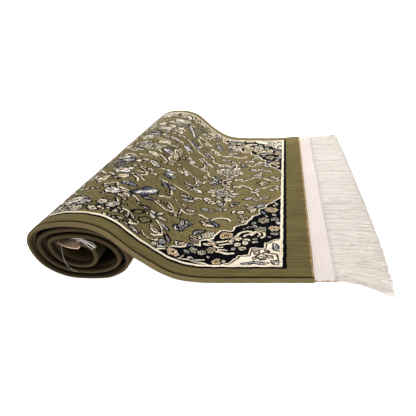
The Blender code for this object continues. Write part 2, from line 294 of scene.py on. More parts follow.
# along and across give a motif's middle, or a tulip's foot. For a round motif, length
# is its radius and width its number of petals; for the others they are its length and
# width. turn is the way its axis points, in degrees from along the rug towards across
# it. fill is the colour inside its rim, and core the colour of its heart.
Motif = namedtuple("Motif", "kind along across length width turn fill core")
FIELD_MOTIFS = tuple(
    Motif(*row)
    for row in (
        # round the roll's back, where the drawing turns
        ("palmette", 396, 285, 26, 9, 0, "peach", "navy"),
        ("jagged", 391, 235, 32, 12, 70, "slate", "navy"),
        ("blossom", 392, 205, 13, 5, 20, "cream", "tan"),
        ("leaf", 390, 186, 20, 8, 120, "grey", "navy"),
        ("bud", 388, 318, 16, 10, 60, "tan", "navy"),
        ("leaf", 387, 262, 20, 8, 40, "grey", "navy"),
        ("blossom", 391, 140, 12, 5, 0, "white", "slate"),
        ("leaf", 392, 160, 20, 8, 100, "slate", "grey"),
        ("leaf", 389, 112, 20, 9, 60, "grey", "navy"),
        # on the centre line
        ("rosette", 88, 350, 9, 4, 45, "cream", "tan"),
        ("bud", 85, 345, 13, 14, 0, "tan", "brown"),
        ("leaf", 98, 345, 5, 10, 165, "brown", "brown"),
        ("leaf", 76, 347, 5, 10, 0, "brown", "brown"),
        ("blossom", 165, 346, 13, 4, 20, "cream", "navy"),
        ("bud", 160, 326, 13, 15, 90, "tan", "cream"),
        ("bud", 143, 332, 14, 10, 30, "white", "tan"),
        ("bud", 133, 328, 13, 9, 160, "cream", "tan"),
        ("blossom", 184, 355, 12, 4, 45, "cream", "slate"),
        ("leaf", 184, 334, 22, 8, 130, "slate", "grey"),
        ("tulip", 278, 350, 14, 3, 0, "cream", "tan"),
        ("bud", 302, 348, 24, 18, 115, "slate", "grey"),
        ("leaf", 310, 348, 22, 8, 100, "cream", "cream"),
        ("palmette", 330, 350, 25, 9, 0, "sage", "navy"),
        ("bud", 350, 350, 24, 16, 90, "grey", "navy"),
        ("bud", 362, 334, 22, 11, 20, "brown", "tan"),
        ("bud", 380, 350, 26, 16, 90, "peach", "cream"),
        # along the frame at the open end
        ("tulip", 60, 316, 9, 3, 90, "cream", "brown"),
        ("bud", 67, 312, 15, 9, 30, "cream", "grey"),
        ("bud", 55, 334, 12, 6, 80, "tan", "cream"),
        ("bud", 94, 318, 10, 13, 164, "slate", "navy"),
        ("tulip", 100, 306, 10, 3, 270, "cream", "slate"),
        ("leaf", 109, 270, 24, 14, 170, "grey", "white"),
        ("bud", 93, 266, 19, 13, 170, "navy", "navy"),
        ("bud", 79, 275, 20, 14, 150, "navy", "navy"),
        # the palmettes that face each other
        ("palmette", 163, 292, 30, 9, 90, "sage", "navy"),
        ("bud", 164, 291, 27, 13, 173, "navy", "grey"),
        ("bud", 185, 300, 16, 10, 150, "white", "tan"),
        ("bud", 187, 288, 16, 10, 10, "cream", "peach"),
        ("bud", 180, 276, 16, 10, 40, "white", "tan"),
        ("bud", 168, 270, 15, 10, 75, "cream", "grey"),
        ("bud", 154, 272, 15, 10, 110, "cream", "tan"),
        ("bud", 142, 281, 16, 10, 150, "white", "grey"),
        ("bud", 139, 292, 16, 9, 5, "cream", "peach"),
        ("bud", 148, 305, 15, 9, 30, "grey", "tan"),
        ("bud", 171, 309, 14, 9, 150, "cream", "grey"),
        ("bud", 156, 314, 13, 8, 10, "cream", "tan"),
        # under them
        ("rosette", 187, 252, 9, 5, 0, "white", "brown"),
        ("bud", 178, 243, 18, 12, 150, "cream", "navy"),
        ("bud", 166, 252, 14, 10, 80, "cream", "tan"),
        ("bud", 160, 240, 17, 9, 100, "white", "grey"),
        ("rosette", 150, 262, 9, 4, 45, "cream", "sage"),
        ("rosette", 130, 209, 7, 5, 0, "white", "brown"),
        ("rosette", 120, 208, 7, 5, 0, "white", "brown"),
        ("leaf", 134, 247, 10, 11, 165, "navy", "slate"),
        ("leaf", 140, 237, 13, 8, 70, "slate", "navy"),
        ("tulip", 108, 222, 10, 3, 154, "cream", "tan"),
        ("bud", 98, 217, 17, 13, 140, "cream", "tan"),
        ("leaf", 86, 238, 28, 11, 135, "grey", "white"),
        ("bud", 101, 233, 14, 8, 140, "slate", "grey"),
        ("bud", 111, 185, 12, 12, 20, "tan", "brown"),
        ("bud", 111, 172, 12, 11, 0, "cream", "grey"),
        ("bud", 119, 192, 13, 7, 80, "cream", "brown"),
        # between the palmettes and the corner
        ("bud", 186, 107, 11, 10, 162, "tan", "brown"),
        ("bud", 175, 106, 14, 12, 163, "grey", "white"),
        ("tulip", 182, 96, 9, 3, 85, "tan", "grey"),
        ("palmette", 164, 117, 15, 7, 70, "sage", "tan"),
        ("rosette", 204, 74, 7, 5, 140, "white", "peach"),
        ("rosette", 196, 75, 8, 5, 146, "peach", "cream"),
        ("leaf", 235, 44, 15, 9, 136, "grey", "tan"),
        ("leaf", 224, 44, 18, 9, 137, "white", "slate"),
        ("leaf", 228, 57, 16, 9, 120, "grey", "slate"),
        ("leaf", 225, 75, 24, 9, 50, "navy", "slate"),
        # on the roll, towards the centre line
        ("bud", 352, 326, 24, 13, 40, "grey", "navy"),
        ("leaf", 294, 290, 18, 8, 120, "tan", "brown"),
        ("leaf", 286, 308, 18, 9, 40, "navy", "slate"),
        # along the frame at the long side
        ("leaf", 380, 70, 34, 12, 40, "white", "navy"),
        ("bud", 370, 58, 24, 10, 20, "slate", "navy"),
        ("blossom", 366, 44, 10, 5, 0, "white", "navy"),
        ("blossom", 383, 46, 12, 4, 30, "cream", "slate"),
        # the blossom on the turn and the great flower's petals
        ("bud", 343, 127, 7, 11, 132, "slate", "grey"),
        ("bud", 333, 124, 12, 9, 122, "grey", "navy"),
        ("bud", 334, 101, 8, 8, -168, "cream", "grey"),
        ("bud", 335, 111, 10, 7, -161, "grey", "brown"),
        ("bud", 323, 116, 11, 8, -141, "olive", "brown"),
        ("bud", 315, 125, 25, 11, 19, "tan", "olive"),
        ("bud", 312, 118, 18, 8, -8, "grey", "olive"),
        ("bud", 310, 111, 15, 11, 6, "tan", "olive"),
        ("bud", 311, 101, 19, 8, 26, "olive", "brown"),
        ("loop", 302, 87, 7, 11, 136, "olive", "olive"),
        ("loop", 324, 84, 14, 9, 129, "olive", "olive"),
        ("leaf", 313, 150, 17, 17, 174, "slate", "grey"),
        ("jagged", 289, 152, 67, 15, -63, "slate", "white"),
        ("leaf", 280, 138, 22, 6, 138, "navy", "slate"),
        # the dark spray and its rings
        ("leaf", 284, 107, 10, 9, 168, "brown", "navy"),
        ("leaf", 274, 111, 16, 8, 152, "navy", "slate"),
        ("leaf", 270, 99, 8, 7, -160, "white", "navy"),
        ("loop", 265, 81, 20, 10, 124, "olive", "olive"),
        ("loop", 281, 87, 18, 6, 128, "olive", "olive"),
        # the pointed leaf and the one under it
        ("leaf", 281, 65, 16, 8, -140, "navy", "navy"),
        ("leaf", 271, 42, 16, 10, -178, "slate", "navy"),
        # along the frame
        ("bud", 338, 52, 7, 6, 111, "cream", "tan"),
        ("rosette", 331, 47, 7, 5, 150, "cream", "brown"),
        ("bud", 322, 50, 12, 7, -148, "peach", "cream"),
        ("leaf", 326, 61, 8, 10, 140, "slate", "grey"),
        ("bud", 306, 56, 13, 6, 110, "peach", "tan"),
        ("bud", 302, 63, 7, 9, 174, "cream", "brown"),
        ("bud", 298, 60, 11, 4, 109, "brown", "tan"),
        ("bud", 315, 57, 8, 4, 135, "tan", "brown"),
        ("rosette", 313, 36, 4, 5, 161, "grey", "brown"),
        ("rosette", 306, 38, 3, 5, 179, "tan", "brown"),
        ("rosette", 300, 38, 3, 5, 180, "cream", "brown"),
        ("bud", 294, 45, 11, 5, 158, "grey", "olive"),
        ("bud", 295, 34, 6, 4, 147, "cream", "brown"),
        ("bud", 289, 58, 8, 4, -162, "olive", "tan"),
        ("bud", 284, 43, 7, 4, 180, "olive", "brown"),
        # the pale leaves at the turn
        ("leaf", 361, 82, 24, 9, -155, "grey", "white"),
        ("leaf", 354, 69, 26, 8, -163, "white", "grey"),
        ("leaf", 355, 61, 17, 5, -167, "white", "grey"),
        ("bud", 350, 48, 10, 12, 175, "slate", "grey"),
        ("bud", 377, 120, 15, 7, -156, "grey", "navy"),
        ("bud", 367, 117, 9, 6, 94, "navy", "brown"),
        ("bud", 358, 117, 7, 8, 160, "grey", "tan"),
        ("bud", 352, 119, 4, 6, 162, "grey", "sage"),
        ("blossom", 380, 170, 11, 4, -141, "white", "navy"),
        ("bud", 359, 150, 11, 15, 151, "slate", "white"),
        # across the roll above them
        ("leaf", 366, 255, 19, 17, 138, "grey", "tan"),
        ("leaf", 353, 259, 33, 30, 149, "slate", "navy"),
        ("leaf", 359, 279, 33, 20, -168, "grey", "slate"),
        ("bud", 329, 259, 19, 18, 130, "peach", "cream"),
        ("bud", 324, 267, 13, 10, -153, "cream", "grey"),
        ("leaf", 344, 208, 33, 22, 156, "white", "sage"),
        ("leaf", 349, 219, 21, 8, -162, "sage", "white"),
        ("leaf", 334, 200, 19, 7, 155, "white", "cream"),
        ("bud", 354, 184, 21, 6, -135, "cream", "peach"),
        ("bud", 328, 184, 18, 9, 110, "cream", "peach"),
        ("bud", 324, 192, 16, 6, -140, "cream", "brown"),
        ("leaf", 336, 172, 24, 4, 85, "navy", "brown"),
        ("bud", 312, 191, 10, 9, 178, "cream", "grey"),
        ("leaf", 315, 222, 14, 5, -153, "navy", "navy"),
        ("bud", 329, 229, 9, 10, 175, "grey", "sage"),
        ("bud", 305, 232, 10, 11, -171, "grey", "navy"),
        # in the middle of the field
        ("bud", 229, 271, 25, 24, -176, "cream", "cream"),
        ("leaf", 230, 271, 17, 11, 175, "navy", "navy"),
        ("bud", 212, 274, 21, 15, 160, "cream", "grey"),
        ("bud", 220, 318, 20, 13, -142, "grey", "navy"),
        ("bud", 216, 298, 6, 8, -166, "tan", "cream"),
        ("leaf", 190, 340, 23, 7, 128, "grey", "navy"),
        ("leaf", 250, 314, 13, 20, 165, "white", "tan"),
        ("leaf", 269, 328, 10, 7, 130, "navy", "navy"),
        ("bud", 271, 259, 26, 15, 134, "grey", "white"),
        ("leaf", 274, 250, 13, 8, 138, "slate", "grey"),
        ("leaf", 260, 222, 19, 16, -178, "slate", "navy"),
        ("leaf", 257, 198, 11, 8, -166, "navy", "brown"),
        ("leaf", 229, 226, 21, 10, 134, "slate", "navy"),
        ("leaf", 220, 232, 14, 10, -165, "navy", "slate"),
        ("bud", 220, 217, 30, 9, 147, "cream", "grey"),
        ("leaf", 221, 191, 15, 10, -136, "peach", "cream"),
        ("bud", 210, 186, 21, 10, 134, "cream", "navy"),
        ("bud", 181, 209, 21, 15, -175, "slate", "grey"),
        ("bud", 162, 216, 9, 12, -162, "brown", "navy"),
        ("bud", 155, 218, 10, 10, 137, "cream", "brown"),
        ("bud", 149, 219, 9, 7, 128, "peach", "brown"),
        ("bud", 175, 155, 27, 9, -142, "cream", "tan"),
        ("bud", 169, 152, 21, 10, -163, "cream", "tan"),
        ("leaf", 171, 168, 17, 7, 167, "slate", "navy"),
        ("leaf", 159, 159, 21, 8, -127, "slate", "grey"),
        ("jagged", 211, 126, 46, 17, 116, "slate", "white"),
        ("leaf", 208, 144, 20, 12, 176, "slate", "white"),
        ("leaf", 214, 130, 32, 5, 95, "white", "white"),
        ("leaf", 182, 125, 25, 11, 130, "navy", "slate"),
        ("leaf", 234, 140, 6, 5, 173, "navy", "brown"),
        ("bud", 228, 145, 8, 8, -161, "tan", "brown"),
        ("leaf", 224, 159, 12, 4, 105, "navy", "navy"),
        ("bud", 263, 154, 8, 7, -179, "brown", "tan"),
        ("bud", 244, 158, 11, 6, -147, "brown", "olive"),
        ("leaf", 257, 159, 5, 5, -170, "navy", "brown"),
        ("leaf", 239, 193, 8, 6, -162, "slate", "navy"),
        # the spray and its long leaves
        ("leaf", 262, 114, 12, 7, 156, "white", "navy"),
        ("leaf", 258, 104, 13, 8, 176, "white", "navy"),
        ("bud", 250, 122, 18, 6, 124, "tan", "navy"),
        ("leaf", 244, 112, 16, 6, 168, "cream", "navy"),
        ("leaf", 235, 97, 18, 8, -158, "slate", "navy"),
        ("leaf", 244, 76, 12, 5, 168, "navy", "navy"),
        ("leaf", 230, 83, 9, 6, -138, "tan", "brown"),
        # towards the centre line on the roll
        ("bud", 319, 309, 27, 16, -153, "cream", "tan"),
        ("leaf", 302, 346, 19, 23, -166, "slate", "white"),
        ("bud", 356, 323, 19, 21, 169, "grey", "brown"),
        ("bud", 287, 344, 18, 16, 152, "tan", "navy"),
        ("leaf", 299, 323, 7, 8, -163, "navy", "brown"),
        ("bud", 307, 263, 19, 7, -138, "white", "navy"),
        ("leaf", 307, 263, 29, 4, -110, "white", "tan"),
        ("leaf", 304, 268, 23, 4, -109, "white", "tan"),
        ("bud", 293, 267, 5, 7, -165, "grey", "brown"),
        ("leaf", 357, 235, 46, 15, 138, "navy", "slate"),
        ("leaf", 350, 257, 22, 16, 174, "grey", "white"),
        ("leaf", 320, 258, 14, 8, 139, "navy", "brown"),
        ("bud", 306, 264, 21, 21, -137, "grey", "sage"),
        ("bud", 295, 224, 13, 10, 151, "cream", "brown"),
        ("bud", 357, 162, 15, 29, -127, "cream", "peach"),
        ("leaf", 345, 165, 14, 18, 144, "navy", "brown"),
        ("bud", 332, 176, 20, 16, 140, "cream", "tan"),
        ("bud", 341, 201, 25, 23, -148, "white", "tan"),
        ("bud", 362, 276, 24, 20, -171, "cream", "grey"),
        ("leaf", 276, 269, 16, 19, 154, "white", "slate"),
        ("leaf", 270, 216, 15, 21, -161, "navy", "slate"),
        ("bud", 283, 306, 13, 15, -167, "tan", "brown"),
        ("bud", 260, 306, 16, 14, -159, "cream", "brown"),
        ("leaf", 321, 150, 12, 19, -158, "slate", "navy"),
        ("bud", 329, 114, 22, 24, -173, "white", "grey"),
        ("bud", 368, 73, 25, 23, 165, "cream", "grey"),
        ("bud", 352, 44, 15, 19, -163, "grey", "tan"),
        ("bud", 328, 71, 15, 16, 168, "cream", "brown"),
        ("bud", 313, 70, 23, 11, 125, "grey", "cream"),
    )
)

SPANDREL_MOTIFS = tuple(
    Motif(*row)
    for row in (
        ("bud", 58, 180, 15.5, 13.7, 20, "navy", "slate"),
        ("leaf", 52, 167, 12.7, 8.19, 40, "white", "white"),
        ("bud", 59, 197, 11.8, 9.1, 80, "cream", "grey"),
        ("bud", 73, 193, 10, 5.46, 70, "slate", "slate"),
        ("bud", 93, 165, 10.9, 11.8, 0, "slate", "grey"),
        ("leaf", 80, 207, 15.5, 10.9, 70, "slate", "grey"),
        ("bud", 57, 128, 13.7, 10, 0, "grey", "slate"),
        ("bud", 66, 116, 8.19, 6.37, 30, "white", "grey"),
        ("bud", 89, 110, 11.8, 8.19, 0, "slate", "slate"),
        ("bud", 89, 100, 14.6, 7.28, 0, "sage", "sage"),
        ("bud", 107, 80, 15.5, 10.9, 0, "sage", "sage"),
        ("bud", 119, 79, 10.9, 10, 80, "slate", "grey"),
        ("leaf", 184, 78, 18.2, 11.8, 60, "slate", "grey"),
        ("leaf", 188, 60, 12.7, 7.28, 30, "grey", "slate"),
        ("bud", 179, 47, 11.8, 8.19, 170, "grey", "white"),
        ("bud", 166, 43, 20, 7.28, 175, "navy", "slate"),
        ("bud", 57, 246, 13.7, 7.28, 80, "tan", "cream"),
        ("bud", 60, 236, 10.9, 5.46, 60, "peach", "brown"),
        ("rosette", 65, 219, 12.7, 8, 0, "tan", "navy"),
        ("rosette", 77, 176, 11.8, 6, 30, "sage", "brown"),
        ("rosette", 58, 146, 10.9, 6, 0, "tan", "navy"),
        ("tulip", 100, 148, 9.1, 3, 90, "peach", "brown"),
        ("tulip", 91, 150, 8.19, 3, 80, "white", "slate"),
        ("rosette", 80, 143, 10, 5, 0, "sage", "navy"),
        ("rosette", 135, 121, 12.7, 4, 45, "tan", "brown"),
        ("tulip", 155, 90, 10, 3, 110, "peach", "tan"),
        ("rosette", 153, 74, 9.1, 6, 0, "sage", "brown"),
        ("rosette", 178, 68, 8.19, 6, 0, "sage", "navy"),
        ("rosette", 165, 64, 8.19, 6, 20, "sage", "navy"),
        ("rosette", 139, 42, 9.1, 6, 0, "tan", "brown"),
        ("bud", 129, 43, 9.1, 8.19, 90, "tan", "cream"),
        ("rosette", 206, 47, 10.9, 6, 0, "peach", "navy"),
        ("bud", 155, 54, 8.19, 5.46, 60, "cream", "sage"),
        ("bud", 109, 146, 12.7, 4.55, 70, "grey", "sage"),
        # five round petals about one middle
        ("bud", 112, 101, 10.9, 10.9, 0, "tan", "peach"),
        ("rosette", 122, 101.5, 6.83, 7, 0, "cream", "navy"),
        ("rosette", 114, 110, 6.83, 7, 0, "cream", "navy"),
        ("rosette", 102, 106, 6.83, 7, 0, "cream", "navy"),
        ("rosette", 102.5, 95.5, 6.83, 7, 0, "cream", "navy"),
        ("rosette", 115, 92.5, 6.83, 7, 0, "cream", "navy"),
        # on the cream quarter in the corner
        ("leaf", 53.5, 83, 26, 11, 68, "slate", "navy"),
        ("leaf", 79, 38.5, 26, 9, 2, "slate", "navy"),
        ("leaf", 95, 36.5, 18, 6, 0, "grey", "grey"),
        ("bud", 55, 41, 14, 13, 45, "navy", "white"),
        ("bud", 83, 69, 13, 9, 45, "grey", "white"),
        ("bud", 74, 53, 12, 8, 20, "tan", "olive"),
        ("bud", 86, 52, 8, 6, 90, "tan", "olive"),
        ("bud", 63, 55, 12, 6, 20, "cream", "tan"),
        ("bud", 67, 72, 9, 5, 30, "tan", "brown"),
    )
)

# Stems and scrolls: half of their width where they start and where they end, and the
# points that they pass through.
Stem = namedtuple("Stem", "thick thin points")
FIELD_STEMS = tuple(
    Stem(*row)
    for row in (
        # round the roll's back, where the drawing turns
        (1.8, 1.5, ((386, 350), (391, 330), (394, 308), (396, 285))),
        (1.8, 1.5, ((396, 285), (398, 260), (391, 235))),
        (1.7, 1.4, ((392, 205), (395, 180), (391, 140), (393, 115), (388, 92))),
        # the spray's two cream hooks, and the claw beside the frame
        (2.3, 1.8, ((247, 98), (242, 94), (237, 88), (233, 82), (231, 76), (234, 69),
                    (240, 62), (247, 60))),
        (1.8, 1.5, ((253, 77), (248, 73), (242, 72), (237, 76))),
        (2.2, 1.7, ((299, 68), (294, 71), (285, 71), (277, 67), (273, 61), (275, 53), (281, 47))),
        # from the open end up the slope and over the roll, near the centre line
        (2.0, 1.6, ((98, 320), (98, 302), (94, 285))),
        (1.6, 1.4, ((140, 335), (127, 336), (118, 329), (109, 316), (99, 315))),
        (1.6, 1.4, ((95, 315), (87, 320), (75, 331), (65, 336), (49, 336))),
        (1.4, 1.2, ((47, 318), (54, 322), (60, 330))),
        (1.5, 1.3, ((184, 350), (195, 352), (206, 350), (214, 346))),
        (1.3, 1.2, ((166, 318), (165, 309), (164, 300))),
        (1.4, 1.2, ((153, 254), (151, 246), (153, 238), (158, 228))),
        (1.5, 1.4, ((127, 236), (119, 242), (112, 239), (105, 232))),
        (1.7, 1.4, ((233, 56), (243, 48), (252, 45), (259, 51))),
        (1.4, 1.3, ((309, 310), (301, 309), (292, 303), (284, 296))),
        (1.3, 1.2, ((337, 337), (330, 337), (320, 336))),
        (1.5, 1.4, ((310, 330), (318, 338), (322, 350))),
        (1.5, 1.4, ((285, 306), (292, 318), (291, 332), (285, 342))),
        (1.4, 1.3, ((338, 330), (352, 336), (366, 332))),
        # about the great flower and beside the frame
        (1.4, 1.3, ((376, 100), (386, 108), (390, 122))),
        (1.5, 1.4, ((343, 126), (348, 135), (343, 138), (338, 143), (332, 141), (326, 128))),
        (1.6, 1.4, ((333, 116), (325, 109), (316, 101), (308, 96), (303, 92))),
        (1.5, 1.2, ((322, 93), (315, 88), (309, 79), (305, 68))),
        (1.8, 1.5, ((300, 117), (293, 115), (288, 112), (283, 107))),
        (1.4, 1.4, ((297, 70), (292, 70), (288, 64), (287, 56), (282, 53), (280, 44))),
        (1.4, 1.3, ((287, 71), (280, 69), (274, 63), (275, 55), (278, 47))),
        (1.3, 1.2, ((277, 43), (270, 42), (263, 42))),
        # across the roll
        (2.0, 1.6, ((395, 234), (371, 195), (359, 186), (352, 189))),
        (2.0, 1.6, ((360, 169), (353, 173), (345, 172), (338, 177))),
        (2.0, 1.7, ((317, 183), (311, 178), (309, 169))),
        (2.0, 1.7, ((316, 189), (309, 186), (303, 183))),
        (1.6, 1.5, ((318, 220), (311, 217), (306, 213), (305, 204), (309, 196))),
        (1.5, 1.3, ((320, 110), (316, 121), (307, 122))),
        # in the middle of the field
        (1.5, 1.3, ((258, 328), (243, 326), (232, 321), (225, 313), (221, 301), (224, 288))),
        (1.6, 1.5, ((211, 313), (205, 331), (195, 338), (185, 352))),
        (1.7, 1.5, ((277, 224), (273, 221))),
        (1.5, 1.3, ((272, 230), (261, 229), (249, 229))),
        (1.6, 1.4, ((256, 239), (243, 241), (233, 243), (225, 240))),
        (1.8, 1.5, ((213, 229), (210, 241), (203, 247), (199, 244))),
        (1.8, 1.6, ((220, 171), (211, 171), (204, 176), (197, 182))),
        (2.2, 1.5, ((192, 184), (186, 185), (178, 178), (171, 171))),
        (2.5, 2.2, ((167, 170), (164, 178), (157, 182), (147, 182), (139, 181), (135, 173))),
        (1.9, 1.6, ((270, 146), (260, 145), (248, 145), (235, 149), (226, 158), (221, 171))),
        (1.5, 1.3, ((249, 167), (243, 167), (238, 161), (237, 150))),
        (1.7, 1.5, ((269, 168), (262, 176), (253, 188), (251, 203), (255, 213))),
        (1.7, 1.5, ((250, 100), (244, 99), (241, 93), (236, 85), (232, 74))),
        (1.7, 1.5, ((251, 78), (251, 71), (244, 69), (237, 73))),
        (1.4, 1.3, ((224, 167), (224, 176), (227, 172))),
        # short tendrils on the roll
        (1.6, 1.4, ((370, 324), (368, 334), (356, 326), (348, 334))),
        (1.8, 1.5, ((368, 286), (361, 297), (348, 285), (339, 274))),
        (1.4, 1.3, ((310, 316), (303, 309), (294, 303))),
        (1.5, 1.3, ((296, 322), (287, 318), (275, 326), (265, 334))),
        (1.6, 1.4, ((327, 203), (318, 207), (308, 212))),
        (1.6, 1.4, ((323, 226), (313, 232), (304, 238))),
        (1.5, 1.3, ((285, 220), (273, 226), (259, 240))),
        (1.5, 1.3, ((299, 255), (288, 264), (274, 277), (265, 288))),
        (1.5, 1.3, ((344, 296), (334, 290), (321, 293), (308, 298))),
    )
)
SPANDREL_STEMS = tuple(
    Stem(*row)
    for row in (
        (3.3, 2.7, ((126, 104), (118, 120), (111, 131), (102, 136), (92, 129))),
        (3.0, 2.5, ((94, 123), (90, 132), (82, 135), (75, 130), (72, 121), (77, 113))),
        (2.7, 2.2, ((85, 132), (81, 123), (84, 117))),
        (2.5, 2.0, ((106, 118), (101, 125), (93, 128))),
        (3.0, 2.4, ((165, 91), (158, 88), (152, 89), (146, 83), (137, 83))),
        (3.2, 2.6, ((152, 96), (142, 101), (132, 103), (121, 105))),
        (2.6, 2.0, ((141, 91), (132, 93.5), (122, 95))),
        (3.2, 2.6, ((150, 81), (143, 72), (131, 65), (118, 64))),
        (2.4, 1.8, ((147, 77), (138, 75), (128, 74))),
        (2.4, 1.8, ((163, 104), (156, 100), (149, 92))),
        (1.9, 1.8, ((198, 37), (190, 40), (182, 41), (172, 38), (160, 37), (150, 31))),
        (1.6, 1.3, ((196, 41), (192, 46), (190, 52))),
    )
)
QUARTER_STEMS = tuple(
    Stem(*row)
    for row in (
        (1.8, 1.6, ((85, 49), (82, 59), (73, 65), (64, 66), (56, 64), (51, 55), (49, 46))),
        (1.5, 1.2, ((71, 60), (66, 58), (60, 60))),
        (1.5, 1.2, ((79, 48), (70, 47), (63, 50))),
        (1.3, 1.2, ((92, 72), (86, 76), (78, 74))),
    )
)

# The corner's stepped and lobed edge, and the cream quarter inside it.
SPANDREL_EDGE = (
    (36, 288), (50, 278), (59, 262), (66, 250), (76, 243), (78, 229), (87, 225),
    (88, 201), (98, 194), (104, 175), (111, 162), (126, 152), (129, 139), (147, 139),
    (153, 128), (156, 111), (167, 106), (174, 98), (174, 87), (192, 84), (194, 74),
    (205, 67), (214, 60), (217, 50), (229, 36), (238, 24),
)  # fmt: skip
QUARTER_EDGE = (
    (36, 116), (50, 111), (59, 106), (66, 99), (72, 98), (74, 81), (94, 81), (95, 61),
    (111, 60), (112, 51), (121, 42), (132, 33), (136, 24),
)  # fmt: skip


def local(along, across, motif):
    """Distances along and beside a motif's axis, from its middle."""
    turn = np.radians(motif.turn)
    p, q = along - motif.along, across - motif.across
    return p * np.cos(turn) + q * np.sin(turn), q * np.cos(turn) - p * np.sin(turn)


def scalloped(p, q, radius, petals, depth):
    """How far inside a round of petals a point is: the radius, less depth of it
    between two petals, less the distance from the middle."""
    around = np.arctan2(q, p)
    return radius * (1 - depth * (0.5 - 0.5 * np.cos(petals * around))) - np.hypot(p, q)


def between_petals(p, q, petals):
    """How near to a line between two petals a point is, as 0.55 less the distance."""
    turn = 2 * np.pi / petals
    off = (np.arctan2(q, p) + turn) % turn - turn / 2
    return 0.55 - np.hypot(p, q) * np.abs(np.sin(off))


# Each shape gives three fields: how far inside its edge a point is, how far inside
# its heart, and how far inside its fine lines. A shape without a heart or lines gives
# its edge less more than its own size there, which is below 0 everywhere.
def rosette(p, q, m):
    """Round petals about an eye."""
    edge = scalloped(p, q, m.length, m.width, 0.20)
    heart = scalloped(p, q, 0.34 * m.length, m.width, 0.20)
    return edge, heart, np.minimum(between_petals(p, q, m.width), edge - 2.6)


def blossom(p, q, m):
    """Deeply cut petals, whose dark middle runs out into each petal."""
    edge = scalloped(p, q, m.length, m.width, 0.32)
    return edge, scalloped(p, q, 0.72 * m.length, m.width, 0.55), edge - 2 * m.length


def palmette(p, q, m):
    """A fan of small petals, widest at its top, over a heart of the same form."""

    def fan_edge(radius, depth):
        around = np.arctan2(q, p)
        opening = 0.62 + 0.38 * (0.5 + 0.5 * np.cos(around))
        petals = 0.5 - 0.5 * np.cos(m.width * around)
        return radius * opening * (1 - depth * petals) - np.hypot(p, q)

    edge = fan_edge(m.length, 0.20)
    lines = np.minimum(between_petals(p, q, m.width) + 0.2, edge - 1.8)
    ring = 0.7 - np.abs(fan_edge(0.66 * m.length, 0.20))
    return edge, fan_edge(0.36 * m.length, 0.30), np.maximum(lines, ring)


def tulip(p, q, m):
    """Three petals that spread from a narrow foot: nothing behind it, and the
    petals' tips at straight ahead and a third of a turn to each side."""
    around, out = np.arctan2(q, p), np.hypot(p, q)
    opening = smooth((2.2 - np.abs(around)) / 1.0)
    reach = m.length * (1 - 0.36 * (0.5 - 0.5 * np.cos(2 * np.pi * around / 1.2)))
    edge = reach * (0.22 + 0.78 * opening) - out
    lines = 0.6 - out * np.abs(np.sin(np.abs(around) - 0.6))
    return edge, 0.5 * reach * opening - out, np.minimum(lines, edge - 1.0)


def leaf(p, q, m):
    """A pointed leaf with a gently toothed edge and a midrib that tapers."""
    along = 2 * p / m.length
    full = np.clip(1 - along**2, 0, 1) ** 0.7
    toothed = 1 - 0.24 * np.abs(np.sin(p / m.width * 5.2))
    edge = 0.5 * m.width * full * toothed - np.abs(q)
    edge = np.minimum(edge, (0.5 * m.length - np.abs(p)) * 0.9)
    rib = 0.12 * m.width * np.clip(1 - along, 0, 1) - np.abs(q) - 0.2
    return edge, np.minimum(rib, edge - 0.8), edge - 2 * m.width


def jagged(p, q, m):
    """A long leaf with deep saw teeth on both sides and a broad, uneven midrib."""
    along = 2 * p / m.length
    full = np.clip(1 - along**2, 0, 1) ** 0.55 * (1 - 0.25 * along)
    saw = (p / (0.115 * m.length) + 0.35 * np.sign(q)) % 1.0
    edge = 0.5 * m.width * full * (1 - 0.42 * saw) - np.abs(q + 0.06 * m.width * np.sin(p / 6))
    edge = np.minimum(edge, 0.5 * m.length - np.abs(p))
    teeth = 0.5 + 0.5 * np.cos(2 * np.pi * (p / (0.115 * m.length)))
    rib = m.width * (0.06 + 0.12 * teeth) * (1.0 - 0.5 * along)
    return edge, np.minimum(rib - np.abs(q), edge - 1.0), edge - 2 * m.width


def oval(p, q, length, width):
    """How far inside an oval a point is, about its middle."""
    return (1 - np.hypot(2 * p / length, 2 * q / width)) * 0.5 * width


def bud(p, q, m):
    """An egg-shaped bud, narrower towards its tip, with two notches in each side, a
    small heart near its foot and a slit from there to the tip."""
    along = 2 * p / m.length
    full = np.sqrt(np.clip(1 - along**2, 0, 1)) * (1 - 0.22 * along)
    notched = 1 - 0.26 * np.abs(np.sin(np.pi * (1.25 * along + 0.30))) ** 3
    edge = np.minimum(0.5 * m.width * full * notched - np.abs(q), 0.5 * m.length - np.abs(p))
    slit = np.minimum(0.95 - np.abs(q + 0.12 * p), edge - 0.9)
    heart = oval(p + 0.17 * m.length, q, 0.42 * m.length, 0.46 * m.width)
    return edge, heart, slit


def loop(p, q, m):
    """An oval of plain ground, which shows as a ring: its dark outline alone."""
    edge = oval(p, q, m.length, m.width)
    return edge, edge - 2 * m.width, edge - 2 * m.width


SHAPES = {
    "rosette": rosette, "blossom": blossom, "palmette": palmette, "tulip": tulip,
    "leaf": leaf, "jagged": jagged, "bud": bud, "loop": loop,
}  # fmt: skip
# How wide the cream yarn inside the outline is, before a motif's fill starts.
RIM = {
    "rosette": 1.6, "blossom": 1.6, "palmette": 1.4, "tulip": 1.3,
    "leaf": 0.0, "jagged": 0.0, "bud": 1.4, "loop": 0.0,
}  # fmt: skip
ROUND = ("rosette", "blossom", "palmette", "tulip")
OUTLINE_MARGIN = 0.4  # a motif covers the ones before it this far past its outline


